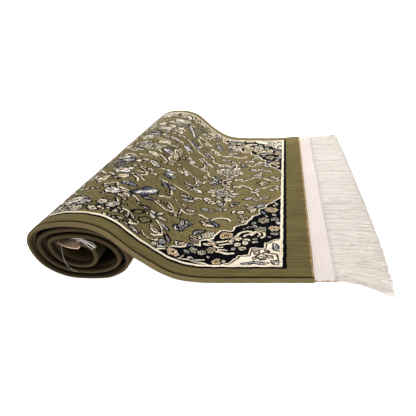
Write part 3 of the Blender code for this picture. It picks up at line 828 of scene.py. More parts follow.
def draw_motifs(along, across, motifs, fields):
    """Lays each motif over the ones before it, where it and its outline reach."""
    for m in motifs:
        reach = FAR_OFF + (m.length if m.kind in ROUND else max(m.length, m.width))
        found = np.flatnonzero(
            (np.abs(along - m.along) < reach) & (np.abs(across - m.across) < reach)
        )
        place = local(along[found], across[found], m)
        edge, heart, lines = SHAPES[m.kind](*place, m)
        over = (edge > -OUTLINE - OUTLINE_MARGIN) | (edge > fields["edge"][found])
        found, edge = found[over], edge[over]
        fields["edge"][found] = edge
        fields["inside"][found] = edge - RIM[m.kind]
        fields["heart"][found] = np.minimum(heart[over], edge)
        fields["lines"][found] = np.minimum(lines[over], edge)
        fields["fill"][found] = INDEX[m.fill]
        fields["core"][found] = INDEX[m.core]


def curve_through(points, step=2.0):
    """A smooth line through the points, sampled about every step: cubic arcs, which
    pass each point in the direction from the one before it to the one after."""
    points = np.array(points, float)
    ends = np.array([2 * points[0] - points[1], *points, 2 * points[-1] - points[-2]])
    before, start, end, after = (ends[k : len(ends) - 3 + k, None] for k in range(4))
    count = max(3, int(np.linalg.norm(end - start, axis=-1).max() / step))
    t = (np.arange(count) / count)[None, :, None]
    arcs = 0.5 * (
        2 * start
        + (end - before) * t
        + (2 * before - 5 * start + 4 * end - after) * t**2
        + (3 * start - before - 3 * end + after) * t**3
    )
    return np.concatenate([arcs.reshape(-1, points.shape[1]), points[-1:]])


def segment_distance(along, across, line):
    """For each point, its distance from a line of segments and how far along the
    line, from 0 to 1, the nearest place is."""
    start, step = line[:-1], np.diff(line, axis=0)
    p = along[:, None] - start[None, :, 0]
    q = across[:, None] - start[None, :, 1]
    share = (p * step[:, 0] + q * step[:, 1]) / (step**2).sum(axis=1)
    share = np.clip(share, 0, 1)
    away = np.hypot(p - share * step[:, 0], q - share * step[:, 1])
    nearest = away.argmin(axis=1)
    row = np.arange(len(along))
    return away[row, nearest], (nearest + share[row, nearest]) / len(step)


STEM_REACH = 6  # how far from a stem its field is worked out


def stem_field(along, across, stems):
    """How far inside the nearest stem each point is: the stem's half width there less
    the distance from its middle line."""
    field = np.full(len(along), -FAR_OFF)
    for stem in stems:
        line = curve_through(stem.points)
        low, high = line.min(axis=0) - STEM_REACH, line.max(axis=0) + STEM_REACH
        found = np.flatnonzero(
            (along > low[0]) & (along < high[0]) & (across > low[1]) & (across < high[1])
        )
        away, share = segment_distance(along[found], across[found], line)
        inside = stem.thick + (stem.thin - stem.thick) * share - away
        field[found] = np.maximum(field[found], inside)
    return field


OUTSIDE = -60.0  # well past the rug's corner, both ways
CORNER_REACH = (260, 300)  # along and across: past here the corner's edge is far off


def edge_field(along, across, edge):
    """Distance from an edge line, positive on the side of the rug's corner: the sign
    is found by counting the sides of the closed outline that a level line crosses."""
    closing = ((edge[-1][0], OUTSIDE), (OUTSIDE, OUTSIDE), (OUTSIDE, edge[0][1]))
    outline = np.array([*edge, *closing], float)
    inside = np.zeros(len(along), bool)
    for (p0, q0), (p1, q1) in zip(outline, np.roll(outline, -1, axis=0)):
        if q0 != q1:
            crosses = (across < q0) != (across < q1)
            inside ^= crosses & (along < p0 + (across - q0) * (p1 - p0) / (q1 - q0))
    field = np.full(len(along), -FAR_OFF)
    near = np.flatnonzero((along < CORNER_REACH[0]) & (across < CORNER_REACH[1]))
    away, _ = segment_distance(along[near], across[near], np.array(edge, float))
    field[near] = np.where(inside[near], away, -away)
    return np.clip(field, -FAR_OFF, FAR_OFF * 3)


def frame_lines(across, along):
    """The frame's lines, counted in from the border: 0 to 1 is the black line and
    1 to 2 the cream one. The nearer of the two sides decides."""

    def counted(away, marks):
        first, second, third = marks
        return np.where(
            away < second,
            (away - first) / (second - first),
            1 + (away - second) / (third - second),
        )

    return np.minimum(counted(across, FRAME_SIDE), counted(along, FRAME_END))


def uneven(along, across):
    """The weaving wanders: each place shifted by slow waves that cross, up to 1.5 mm."""
    shifted = along + 0.9 * np.sin(across / 4.1 + 1.7 * np.sin(along / 11))
    shifted = shifted + 0.6 * np.sin(across / 9.3 + along / 6.7)
    drawn = across + 0.9 * np.sin(along / 3.7 + 1.9 * np.sin(across / 13))
    return shifted, drawn + 0.6 * np.sin(along / 8.9 - across / 7.1)


DRAWN_WIDER = 1.0117  # the motifs' places count millimetres a little finer than the rug's
STRAIGHTER = 0.4  # how much of that wandering the frame's straight lines take up
CORNER_DARK = -1.0  # the corner piece starts with a dark line outside its edge
CORNER_LEANER = (0.4, 0.2)  # its motifs and its scrolls are woven leaner than drawn
DISTANCES = ("edge", "inside", "heart", "lines")


def light_on_the_pile(across, along):
    """Two gains, for places in metres, both painted light and shade. The first is painted
    sheen and painted shade: all of the pile a little lighter from the near side to the
    far one and much lighter by the far edge, as sheen, and half as light inside the
    roll, as shade. The second is painted shade on the ground alone: darker from the
    slope on, most of all in the near half."""
    lean = 0.92 + 0.12 * across / WIDTH + 0.45 * rise(across, 0.60, 0.69)
    lean = lean * (1 - 0.5 * rise(along, 0.62, 0.74))
    near = 1 - rise(across, 0.35, 0.60)
    return lean, 1 - (0.06 + 0.13 * near) * rise(along, 0.17, 0.27)


def pattern_fields(across, along):
    """Every field of the woven pattern, for places on the flat rug in metres. Each
    place is taken to the drawn quarter of the rug, as the mirrored halves have it, and
    in the field also back from its turn inside the roll."""
    across, along = across.ravel(), along.ravel()
    lean, ground_shade = light_on_the_pile(across, along)
    side_in = (np.minimum(across, WIDTH - across) - SIDE) / MM
    # The lines look leaner at the near side, and fuller from the middle on.
    fuller = 0.65 * rise(across, 0.20, 0.53) - 0.45
    across = HALF - DRAWN_WIDER * np.abs(across / MM - HALF)
    middle = LENGTH / MM / 2
    along = middle - np.abs(along / MM - middle)
    folded, _ = uneven(FIELD_TURNS - np.abs(along - FIELD_TURNS), across)
    woven, drawn = uneven(along, across)
    straight_across = across + STRAIGHTER * (drawn - across)
    straight_along = along + STRAIGHTER * (woven - along)
    along, across = woven, drawn

    ground = edge_field(along, across, SPANDREL_EDGE)
    in_spandrel = ground > CORNER_DARK
    fields = {name: np.full(len(along), -FAR_OFF) for name in DISTANCES}
    fields |= {name: np.zeros(len(along)) for name in ("fill", "core")}
    shade = {name: field.copy() for name, field in fields.items()}
    draw_motifs(folded, across, FIELD_MOTIFS, fields)
    draw_motifs(folded + SHADE[0], across + SHADE[1], FIELD_MOTIFS, shade)
    for name in DISTANCES:
        fields[name][in_spandrel] = -FAR_OFF
    draw_motifs(along, across, SPANDREL_MOTIFS, fields)
    stems = stem_field(folded, across, FIELD_STEMS)
    scrolls = stem_field(along, across, SPANDREL_STEMS) - CORNER_LEANER[1]
    shades = stem_field(folded + SHADE[0], across + SHADE[1], FIELD_STEMS)
    shades = np.maximum(shades, shade["edge"])
    return fields | {
        "frame_lines": frame_lines(straight_across, straight_along),
        "ground": ground,
        "quarter": edge_field(along, across, QUARTER_EDGE),
        "edge": fields["edge"] + fuller - CORNER_LEANER[0] * in_spandrel,
        "stem": np.where(in_spandrel, scrolls, stems) + fuller,
        "shade": np.where(in_spandrel, -FAR_OFF, shades + fuller),
        "quarter_stem": stem_field(along, across, QUARTER_STEMS),
        "end_in": straight_along,
        "side_in": side_in,
        # The last two gains are painted light: painted sheen and painted shade on the pile, and
        # painted shade on the ground.
        "lean": lean,
        "ground_shade": ground_shade,
    }


# ------------------------------------------------------------------------ shading
class Nodes:
    """Short ways to add and join the nodes of one material or group."""

    def __init__(self, tree):
        self.tree = tree

    def add(self, kind, settings=None, **inputs):
        """A node with its settings and its inputs, an underscore for each space."""
        node = self.tree.nodes.new(kind)
        for name, value in (settings or {}).items():
            setattr(node, name, value)
        for name, value in inputs.items():
            self.join(value, node.inputs[name.replace("_", " ")])
        return node

    def join(self, value, socket):
        """A link where value is another node's output, or else the socket's own value."""
        if isinstance(value, bpy.types.NodeSocket):
            self.tree.links.new(value, socket)
        else:
            socket.default_value = value

    def sum(self, operation, *values):
        """One Math node: operation on one to three numbers or sockets."""
        node = self.tree.nodes.new("ShaderNodeMath")
        node.operation = operation
        for value, socket in zip(values, node.inputs):
            self.join(value, socket)
        return node.outputs[0]

    def field(self, name):
        """A field of the piece's own points."""
        return self.add("ShaderNodeAttribute", {"attribute_name": name}).outputs["Fac"]

    def noise(self, vector, scale, detail=2.0, roughness=0.5):
        """Noise from 0 to 1, about 0.5."""
        return self.add(
            "ShaderNodeTexNoise", Vector=vector, Scale=scale, Detail=detail, Roughness=roughness
        ).outputs["Fac"]

    def mapped(self, value, start, end, low, high):
        """low up to start and high from end on, with an even rise between them."""
        return self.add(
            "ShaderNodeMapRange",
            Value=value, From_Min=start, From_Max=end, To_Min=low, To_Max=high,
        ).outputs[0]  # fmt: skip

    def mix(self, factor, a, b, blend="MIX"):
        """Colour a where factor is 0, b where it is 1, or b laid on a by blend."""
        node = self.tree.nodes.new("ShaderNodeMix")
        node.data_type, node.blend_type = "RGBA", blend
        self.join(factor, node.inputs[0])
        self.join(a, node.inputs[6])
        self.join(b, node.inputs[7])
        return node.outputs[2]

    def scale(self, colour, gain):
        """A colour made lighter or darker."""
        node = self.tree.nodes.new("ShaderNodeVectorMath")
        node.operation = "SCALE"
        linked = isinstance(colour, bpy.types.NodeSocket)
        self.join(colour if linked else colour[:3], node.inputs[0])
        self.join(gain, node.inputs["Scale"])
        return node.outputs[0]

    def over(self, mask, colour, below):
        """Colour laid over what is below, where the mask is above 0."""
        return self.mix(self.sum("GREATER_THAN", mask, 0.0), below, colour)

    def pick(self, index, colours):
        """The colour of that index, from a ramp of flat steps."""
        ramp = self.tree.nodes.new("ShaderNodeValToRGB")
        ramp.color_ramp.interpolation = "CONSTANT"
        steps = ramp.color_ramp.elements
        while len(steps) < len(colours):
            steps.new(1.0)
        for number, colour in enumerate(colours):
            steps[number].position = number / len(colours)
            steps[number].color = colour
        place = self.sum("MULTIPLY_ADD", index, 1 / len(colours), 0.5 / len(colours))
        self.join(place, ramp.inputs["Fac"])
        return ramp.outputs["Color"]


def new_material(name, roughness, sheen=0.0, specular=0.05):
    """A material, its nodes, and its shader with the values that are the same all over."""
    material = bpy.data.materials.new(name)
    material.use_nodes = True
    nodes = Nodes(material.node_tree)
    shader = material.node_tree.nodes["Principled BSDF"]
    shader.inputs["Roughness"].default_value = roughness
    shader.inputs["Specular IOR Level"].default_value = specular
    shader.inputs["Sheen Weight"].default_value = sheen
    shader.inputs["Sheen Roughness"].default_value = 0.3
    return material, nodes, shader


def group(name, inputs, outputs):
    """A new shader node group with named sockets, and its nodes."""
    tree = bpy.data.node_groups.new(name, "ShaderNodeTree")
    for socket, kind in inputs:
        tree.interface.new_socket(socket, in_out="INPUT", socket_type=kind)
    for socket, kind in outputs:
        tree.interface.new_socket(socket, in_out="OUTPUT", socket_type=kind)
    nodes = Nodes(tree)
    return tree, nodes, tree.nodes.new("NodeGroupInput"), tree.nodes.new("NodeGroupOutput")


def yarn_mottle_group():
    """Uneven yarn: the colour made up to Amount lighter or darker by fine noise and
    by slow drifts of dye, and a height for the fibres."""
    tree, nodes, given, put = group(
        "yarn mottle",
        [("Colour", "NodeSocketColor"), ("Vector", "NodeSocketVector"),
         ("Fibre Scale", "NodeSocketFloat"), ("Amount", "NodeSocketFloat")],
        [("Colour", "NodeSocketColor"), ("Height", "NodeSocketFloat")],
    )  # fmt: skip
    vector = given.outputs["Vector"]
    fibre = nodes.noise(vector, given.outputs["Fibre Scale"], detail=3.0, roughness=0.6)
    drift = nodes.noise(vector, 14.0)
    both = nodes.sum("ADD", nodes.sum("MULTIPLY", fibre, 1.3), nodes.sum("MULTIPLY", drift, 0.7))
    swing = nodes.sum("MULTIPLY", nodes.sum("SUBTRACT", both, 1.0), given.outputs["Amount"])
    gain = nodes.sum("ADD", 1.0, nodes.sum("MULTIPLY", swing, 2.0))
    nodes.join(nodes.scale(given.outputs["Colour"], gain), put.inputs["Colour"])
    nodes.join(fibre, put.inputs["Height"])
    return tree


def placed(nodes, tree, **inputs):
    """The outputs of a group that is placed in a material with its own values."""
    return nodes.add("ShaderNodeGroup", {"node_tree": tree}, **inputs).outputs


def finish_surface(nodes, shader, colour, height, strength, distance):
    """Joins the colour, and the bump that the height makes, to the shader."""
    nodes.join(colour, shader.inputs["Base Color"])
    bump = nodes.add("ShaderNodeBump", Height=height, Strength=strength, Distance=distance)
    nodes.join(bump.outputs["Normal"], shader.inputs["Normal"])


def object_places(nodes):
    """The place on the piece itself, in metres."""
    return nodes.add("ShaderNodeTexCoord").outputs["Object"]


# How far inside its line each band of yarn starts, in millimetres on the flat rug.
STEM_HEART = 1.6
SHADE_STARTS = -0.9
CORNER_GROUND = 3.0
QUARTER_LINE, QUARTER_GROUND, QUARTER_SCROLLS = 2.0, 4.4, 6.0
HEART_RIM = -0.9
QUARTER_YARN = (0.72, 0.635, 0.51, 1.0)


def pile_material(mottle):
    """Cut pile: the fields become bands of yarn, from the ground up, and the places
    where a band starts wander with a fine noise."""
    material, nodes, shader = new_material("woven pile", 0.9, sheen=0.07, specular=0.02)
    colour_of = dict(COLOURS)
    yarns = [yarn for _, yarn in COLOURS]
    vein_yarns = [colour_of[VEINS[name]] for name, _ in COLOURS]
    place = object_places(nodes)
    grain = nodes.noise(place, 330.0)
    wander = nodes.sum("SUBTRACT", grain, 0.5)

    def field(name, past=0.0, wandering=WANDERING):
        inside = nodes.sum("SUBTRACT", nodes.field(name), past)
        return nodes.sum("MULTIPLY_ADD", wander, wandering, inside)

    navy, cream, brown = colour_of["navy"], colour_of["cream"], colour_of["brown"]
    fill, core = nodes.field("fill"), nodes.field("core")
    specks = nodes.sum("MULTIPLY_ADD", nodes.noise(place, 300.0), 3.4, -1.3)
    speckled = nodes.mix(specks, colour_of["olive"], srgb(160, 145, 100))
    colour = nodes.over(field("frame_lines", 2.0), speckled, colour_of["olive"])
    # Painted shade: the ground darker from the slope on, most of all in the near half.
    colour = nodes.scale(colour, nodes.field("ground_shade"))
    colour = nodes.over(field("ground", CORNER_DARK), navy, colour)
    colour = nodes.over(field("ground"), cream, colour)
    colour = nodes.over(field("ground", CORNER_GROUND), navy, colour)
    colour = nodes.over(field("shade", SHADE_STARTS), srgb(38, 28, 20), colour)
    colour = nodes.over(field("stem"), cream, colour)
    colour = nodes.over(field("stem", STEM_HEART), colour_of["tan"], colour)
    colour = nodes.over(field("quarter"), cream, colour)
    colour = nodes.over(field("quarter", QUARTER_LINE), brown, colour)
    colour = nodes.over(field("quarter", QUARTER_GROUND), QUARTER_YARN, colour)
    scrolls = nodes.sum("MINIMUM", field("quarter_stem"), field("quarter", QUARTER_SCROLLS))
    colour = nodes.over(scrolls, brown, colour)
    colour = nodes.over(field("edge", -OUTLINE), navy, colour)
    colour = nodes.over(field("edge"), cream, colour)
    colour = nodes.over(field("inside"), nodes.pick(fill, yarns), colour)
    colour = nodes.over(field("lines"), nodes.pick(fill, vein_yarns), colour)
    heart_rim = nodes.sum("MINIMUM", field("heart", HEART_RIM), field("inside"))
    colour = nodes.over(heart_rim, nodes.pick(core, vein_yarns), colour)
    colour = nodes.over(field("heart"), nodes.pick(core, yarns), colour)
    # Single knots of other yarns are scattered inside the motifs.
    knots = nodes.noise(place, 420.0)
    dark_knots = nodes.sum("SUBTRACT", 0.435, knots)
    pale_knots = nodes.sum("SUBTRACT", knots, 0.63)
    in_motif = field("edge", 0.3)
    colour = nodes.over(nodes.sum("MINIMUM", dark_knots, in_motif), srgb(74, 58, 44), colour)
    colour = nodes.over(nodes.sum("MINIMUM", pale_knots, in_motif), cream, colour)
    # The frame's cream line, its black line and the border lie over everything else.
    for line, yarn in ((2.0, cream), (1.0, navy), (0.0, colour_of["olive"])):
        outside = nodes.sum("MULTIPLY", field("frame_lines", line, 0.35), -1.0)
        colour = nodes.over(outside, yarn, colour)
    # The cut end of the pile shows lighter, golden fibres in a ragged line.
    ragged = nodes.sum("MULTIPLY_ADD", grain, 9.0, -2.2)
    ragged = nodes.sum("SUBTRACT", ragged, nodes.field("end_in"))
    colour = nodes.over(nodes.sum("ADD", ragged, 1.6), srgb(140, 116, 74), colour)
    colour = nodes.over(ragged, srgb(200, 172, 118), colour)
    # Painted shade: the pile is darker in the hollow where it meets the overcast edge;
    # the lean gain is painted sheen and painted shade.
    groove_shade = nodes.mapped(nodes.field("side_in"), 0.2, 2.0, 0.5, 1.0)
    colour = nodes.scale(colour, nodes.sum("MULTIPLY", nodes.field("lean"), groove_shade))
    # The rows of knots run along the rug: noise drawn out ten times that way.
    rows = nodes.add("ShaderNodeMapping", Vector=place, Scale=(0.10, 1.0, 0.10))
    streaks = nodes.noise(rows.outputs[0], 190.0, detail=3.0, roughness=0.6)
    colour = nodes.scale(colour, nodes.sum("MULTIPLY_ADD", streaks, 1.3, 0.35))
    yarn = placed(nodes, mottle, Colour=colour, Vector=place, Fibre_Scale=700.0, Amount=0.28)
    height = nodes.sum("ADD", yarn["Height"], nodes.sum("MULTIPLY", streaks, 0.6))
    finish_surface(nodes, shader, yarn["Colour"], height, 0.55, 0.0012)
    return material


def backing_material(mottle):
    """Jute-coloured woven back: fine ribs across the rug, over warps along it."""
    material, nodes, shader = new_material("woven back", 0.9)
    place = object_places(nodes)
    yarn = placed(
        nodes, mottle, Colour=srgb(104, 86, 62), Vector=place, Fibre_Scale=500.0, Amount=0.2
    )
    ribs = nodes.sum("SINE", nodes.sum("MULTIPLY", nodes.field("along"), 2 * np.pi / 0.0021))
    warps = nodes.sum("SINE", nodes.sum("MULTIPLY", nodes.field("across"), 2 * np.pi / 0.0026))
    height = nodes.sum("ADD", nodes.sum("MULTIPLY", ribs, 0.25), yarn["Height"])
    height = nodes.sum("ADD", height, nodes.sum("MULTIPLY", warps, 0.2))
    finish_surface(nodes, shader, yarn["Colour"], height, 0.6, 0.0008)
    return material


def edge_yarn_material(mottle):
    """The overcast edge: yarn wound round and round, each turn a low ridge with painted
    shade between the turns, a painted highlight on its lit upper outer side and painted
    shade where it is sewn down beside the pile and underneath, and darker and browner
    from the roll's top on."""
    material, nodes, shader = new_material("overcast edge yarn", 0.7, sheen=0.1)
    place = object_places(nodes)
    yarn = placed(
        nodes, mottle, Colour=srgb(164, 144, 98), Vector=place, Fibre_Scale=520.0, Amount=0.16
    )
    around = nodes.field("around")
    # Painted shade between the turns of yarn, which are lighter on each crest.
    turn = nodes.sum("MULTIPLY", nodes.field("along"), 2 * np.pi / 0.0024)
    turn = nodes.sum("SINE", nodes.sum("ADD", turn, around))
    # Painted light on the lit side, painted shade towards the pile and underneath.
    lit_side = nodes.mapped(nodes.field("lit_side"), 0.62, 0.94, 0.36, 1.0)
    gain = nodes.sum("MULTIPLY", nodes.sum("MULTIPLY_ADD", turn, 0.09, 0.91), lit_side)
    height = nodes.sum("ADD", nodes.sum("MULTIPLY", turn, 0.5), yarn["Height"])
    # Darker and browner from the roll's top on.
    into_the_roll = nodes.mapped(nodes.field("along"), 0.28, 0.50, 0.0, 1.0)
    roll_tone = nodes.mix(into_the_roll, yarn["Colour"], srgb(108, 91, 65))
    finish_surface(nodes, shader, nodes.scale(roll_tone, gain), height, 0.5, 0.0009)
    return material


def cotton_material(name, colour, mottle, amount):
    """White or tinted cotton: fine fibres, each yarn its own tint, and painted shade, darker
    and warm, in the grooves where a groove field is over 0."""
    material, nodes, shader = new_material(name, 0.75, sheen=0.05)
    place = object_places(nodes)
    tint = nodes.sum("MULTIPLY_ADD", nodes.field("tint"), amount, 1.0 - amount)
    groove_shade = nodes.mix(nodes.field("groove_shade"), (1.0, 1.0, 1.0, 1.0), (0.80, 0.75, 0.715, 1.0))
    shown = nodes.mix(1.0, nodes.scale(colour, tint), groove_shade, "MULTIPLY")
    stitches = nodes.sum("SUBTRACT", nodes.noise(place, 420.0, detail=1.0), 0.48)
    stitches = nodes.sum("MINIMUM", stitches, nodes.field("overcast"))
    shown = nodes.over(stitches, srgb(196, 150, 126), shown)
    yarn = placed(nodes, mottle, Colour=shown, Vector=place, Fibre_Scale=900.0, Amount=0.08)
    finish_surface(nodes, shader, yarn["Colour"], yarn["Height"], 0.35, 0.0006)
    return material


# ------------------------------------------------------------------------- pieces
PILE_ROUNDING = 0.0018
RIM_STEPS = np.array([0.0, 0.0, 0.0003, 0.0010])  # samples of that rounding, from the rim
ROLLED_FROM = 0.44  # along: past here the cloth turns inside the roll
# From, to and pitch of the pile's grid: the border, the drawing that shows, the roll's
# back, the turn under it, and the turns inside.
PILE_ALONG = (
    (PILE_ROUNDING, 0.036, 0.0057), (0.036, 0.330, 0.00175), (0.330, 0.405, 0.0022),
    (0.405, 0.480, 0.005), (0.480, LENGTH - PILE_ROUNDING, 0.0080),
)  # fmt: skip
PILE_ACROSS = 302  # samples, closest together at the near side
BACK_ACROSS = 60
BACK_INSET = 0.0004  # the back's rim lies inside the pile's
BINDING_SIDES = 18


def pile_level(inward):
    """How high the pile stands, as a share of the cloth's thickness, at a distance
    in from its edge: a quarter circle, then level."""
    t = np.clip(1 - inward / PILE_ROUNDING, 0, 1)
    return 1 - (PILE_ROUNDING / THICKNESS) * (1 - np.sqrt(1 - t**2))


def cloth_pile(material):
    """The pile's surface: a grid that is fine where it shows and coarser inside the
    roll, with its rim turned down to the underside all round."""
    span = WIDTH - 2 * SIDE
    t = np.linspace(0, 1, PILE_ACROSS)
    inner = PILE_ROUNDING + (span - 2 * PILE_ROUNDING) * (0.74 * t + 0.26 * t**2)
    across_in = np.concatenate([RIM_STEPS, inner, span - RIM_STEPS[::-1]])
    along = np.concatenate([RIM_STEPS, spaced(*PILE_ALONG), LENGTH - RIM_STEPS[::-1]])
    level_across = pile_level(np.minimum(across_in, span - across_in))
    level_along = pile_level(np.minimum(along, LENGTH - along))
    level_across[[0, -1]] = level_along[[0, -1]] = 0.0
    level = np.minimum(level_across[:, None], level_along[None, :])
    across, along = np.broadcast_arrays(SIDE + across_in[:, None], along[None, :])
    points = on_rug(across, along, (level - 0.5) * THICKNESS)
    uv = np.stack([across / WIDTH, along / LENGTH], axis=-1)
    faces = grid_faces(*across.shape)
    return piece("rug_pile", points, faces, material, pattern_fields(across, along), uv)


def cloth_back(material):
    """The woven back: a coarser grid on the underside, its rim turned up inside the
    pile's."""
    span = WIDTH - 2 * SIDE - 2 * BACK_INSET
    across = SIDE + BACK_INSET + span * np.linspace(0, 1, BACK_ACROSS)
    along = spaced((BACK_INSET, ROLLED_FROM, 0.008), (ROLLED_FROM, LENGTH - BACK_INSET, 0.0065))
    across = np.concatenate([across[:1], across, across[-1:]])
    along = np.concatenate([along[:1], along, along[-1:]])
    across, along = np.broadcast_arrays(across[:, None], along[None, :])
    up = np.full(across.shape, -THICKNESS / 2 + 0.0001)
    up[[0, -1], :] = up[:, [0, -1]] = 0.0
    uv = np.stack([across / WIDTH, along / LENGTH], axis=-1)
    fields = {"across": across, "along": along}
    faces = grid_faces(*across.shape)[:, ::-1]
    return piece("rug_back", on_rug(across, along, up), faces, material, fields, uv)


def edge_binding(name, near, material):
    """The overcast edge: a circle carried along the long side, a little uneven from turn
    to turn. around is 0 where it meets the pile and a quarter turn on top, and the
    field of painted light is highest along the side where the light falls most."""
    along = spaced((-0.0002, ROLLED_FROM, 0.0030), (ROLLED_FROM, LENGTH, 0.0026))[:, None]
    around = (np.arange(BINDING_SIDES) / BINDING_SIDES * 2 * np.pi)[None, :]
    along, around = np.broadcast_arrays(along, around)
    swelling = 1 + 0.035 * np.sin(along * 210 + 1.3 * np.sin(along * 47))
    radius = EDGE_ROLL / 2 * 0.985 * swelling
    middle = EDGE_ROLL / 2 if near else WIDTH - EDGE_ROLL / 2
    inward = 1 if near else -1
    points = on_rug(middle + inward * radius * np.cos(around), along, radius * np.sin(around))
    rows, columns = along.shape
    faces = list(grid_faces(rows, columns, closed=True))
    faces += [np.arange(columns)[::-1], (rows - 1) * columns + np.arange(columns)]
    if near:
        faces = [face[::-1] for face in faces]
    uv = np.stack([around / (2 * np.pi), along / LENGTH], axis=-1)
    # The side where painted light falls; the rest lies in painted shade.
    lit_at = 2.45 if near else 1.6
    lit_side = 0.5 + 0.5 * np.cos(around - lit_at)
    fields = {"along": along, "around": around, "lit_side": lit_side}
    return piece(name, points, faces, material, fields, uv)


def splay(y):
    """How far a yarn's tip leans sideways: 40 mm out past the near corner and 46 mm
    past the far one, and less and less further in."""
    return -0.040 * np.exp(-y / 0.055) + 0.046 * np.exp((y - WIDTH) / 0.060)


def far_rise(y):
    """The tape and fringe stand up a little more than the cloth at the far corner."""
    return 0.004 * rise(y, 0.58, 0.68)


TAPE_RIBS = 9
TAPE_SHOWN = 0.0025  # how far the tape lies over the foot of the fringe
OVERCAST_ENDS = 2.0  # millimetres of stitches over each end of the tape
NO_STITCHES = -1.0


def end_tape(material):
    """The woven tape along the open end: a closed flat section with ribs along it,
    carried from side to side."""
    left = PROFILE[0].x * MM + GAP
    wide = TAPE_WIDTH + TAPE_SHOWN
    over = np.linspace(0, 1, TAPE_RIBS * 8 + 1)
    rib = np.abs(np.sin(np.pi * TAPE_RIBS * over)) ** 0.45
    x = np.concatenate([left + wide * over, [left + wide, left]])
    z = np.concatenate([TAPE_THICKNESS * (0.6 + 0.4 * rib), [0.0001, 0.0001]])
    # Painted shade in the grooves between the ribs.
    groove_shade = np.concatenate([1 - rib, [0.5, 0.5]])
    y = spaced((TAPE_INSET - 0.0004, WIDTH - TAPE_INSET + 0.0004, 0.0035))[:, None]
    x, z, y = np.broadcast_arrays(x[None, :], z[None, :], y)
    x = x + 0.0003 * np.sin(y * 90 + 2 * np.sin(y * 31))
    points = np.stack([x, y, z + corner_lift(left, y) + far_rise(y)], axis=-1)
    points += SHIFT_TO_FRAME
    rows, columns = x.shape
    faces = list(grid_faces(rows, columns, closed=True)[:, ::-1])
    faces += [np.arange(columns), (rows - 1) * columns + np.arange(columns)[::-1]]
    inward = np.minimum(y - TAPE_INSET, WIDTH - TAPE_INSET - y) / MM
    fields = {
        "tint": np.full(x.shape, 0.9),
        "groove_shade": np.broadcast_to(groove_shade, x.shape),
        "overcast": OVERCAST_ENDS - inward,
    }
    return piece("end_tape", points, faces, material, fields)


def yarns(name, paths, radius, material, tint, sides=3):
    """Round yarns as one mesh: a small ring carried along each path, with both ends
    closed. paths is yarns by samples by 3, radius fits its first two axes, and tint
    has one value for each yarn."""
    count, samples = paths.shape[:2]
    going = np.gradient(paths, axis=1)
    going /= np.linalg.norm(going, axis=-1, keepdims=True)
    side = np.cross(going, [0.02, 0.0, 1.0])
    side /= np.linalg.norm(side, axis=-1, keepdims=True)
    top = np.cross(side, going)
    angle = np.arange(sides) / sides * 2 * np.pi + np.pi / 2
    ring = (
        side[:, :, None] * np.cos(angle)[:, None] + top[:, :, None] * np.sin(angle)[:, None]
    )
    points = paths[:, :, None] + ring * np.broadcast_to(radius, (count, samples))[..., None, None]
    one = grid_faces(samples, sides, closed=True)
    first = (np.arange(count) * samples * sides)[:, None, None]
    faces = list((one[None] + first).reshape(-1, 4)[:, ::-1])
    cap = np.arange(sides)
    faces += list((cap[None] + first[:, :, 0]).reshape(-1, sides))
    last = (samples - 1) * sides
    faces += list((last + cap[::-1][None] + first[:, :, 0]).reshape(-1, sides))
    tint = np.broadcast_to(tint[:, None, None], (count, samples, sides))
    u = np.broadcast_to(((np.arange(count) + 0.5) / count)[:, None, None], tint.shape)
    v = np.broadcast_to(np.linspace(0, 1, samples)[None, :, None], tint.shape)
    bare = np.full(tint.shape, NO_STITCHES)
    fields = {"tint": tint, "groove_shade": np.zeros(tint.shape), "overcast": bare}
    return piece(name, points, faces, material, fields, np.stack([u, v], axis=-1))


FRINGE_YARNS = 3000
FRINGE_RADIUS = 0.00046
FRINGE_UNDER = 0.0035  # how far the yarns start back under the tape
FRINGE_BOW = 0.0090  # how much longer they are in the middle than at the corners


def end_fringe(material):
    """Fine cotton yarns, laid side by side in some depth, that run out over the floor
    from the tape, splay past both corners, and wander a little: each by two sines of
    its own along its length, and one that it shares with its neighbours. They are
    whiter towards the near side."""
    random = np.random.default_rng(11)
    number = np.arange(FRINGE_YARNS) + random.uniform(0, 1, FRINGE_YARNS)
    y0 = (TAPE_INSET + (WIDTH - 2 * TAPE_INSET) * number / FRINGE_YARNS)[:, None]
    share = np.linspace(0, 1, 10)[None, :]
    left = PROFILE[0].x * MM + GAP + TAPE_WIDTH - FRINGE_UNDER
    length = (FRINGE_LENGTH + 0.0020) * random.uniform(0.93, 1.0, (FRINGE_YARNS, 1))
    length = length + FRINGE_BOW * (1 - (2 * y0 / WIDTH - 1) ** 6)
    x = left + length * share
    phase = random.uniform(0, 2 * np.pi, (2, FRINGE_YARNS, 1))
    wander = 0.0007 * np.sin(phase[0] + 6 * share) + 0.0005 * np.sin(phase[1] + 12 * share)
    together = np.sin(y0 * 830 + 2.0 * np.sin(y0 * 161) + 2 * share)
    wander = wander + 0.0004 * together * np.sin(8.0 * share + 3.0 * np.sin(y0 * 240))
    y = y0 + splay(y0) * share**1.4 + wander * np.sqrt(share)
    layer = random.uniform(0, 1, (FRINGE_YARNS, 1))
    drop = corner_lift(PROFILE[0].x * MM, y0) * (1 - smooth(share * 1.15))
    drop = drop + far_rise(y0) * (1 + 0.4 * share)
    swell = 0.0010 * np.sin(np.pi * np.clip(share * 1.1, 0, 1))
    z = 0.0007 + 0.0016 * layer * (1 - 0.3 * share) + swell + drop
    paths = np.stack([x, y, z], axis=-1) + SHIFT_TO_FRAME
    radius = FRINGE_RADIUS * (1 - 0.3 * share**3) * random.uniform(0.8, 1.15, (FRINGE_YARNS, 1))
    whiter = 0.6 * smooth(1 - y0[:, 0] / 0.25)
    tint = random.uniform(0, 1, FRINGE_YARNS) + whiter
    return yarns("end_fringe", paths, radius, material, tint)


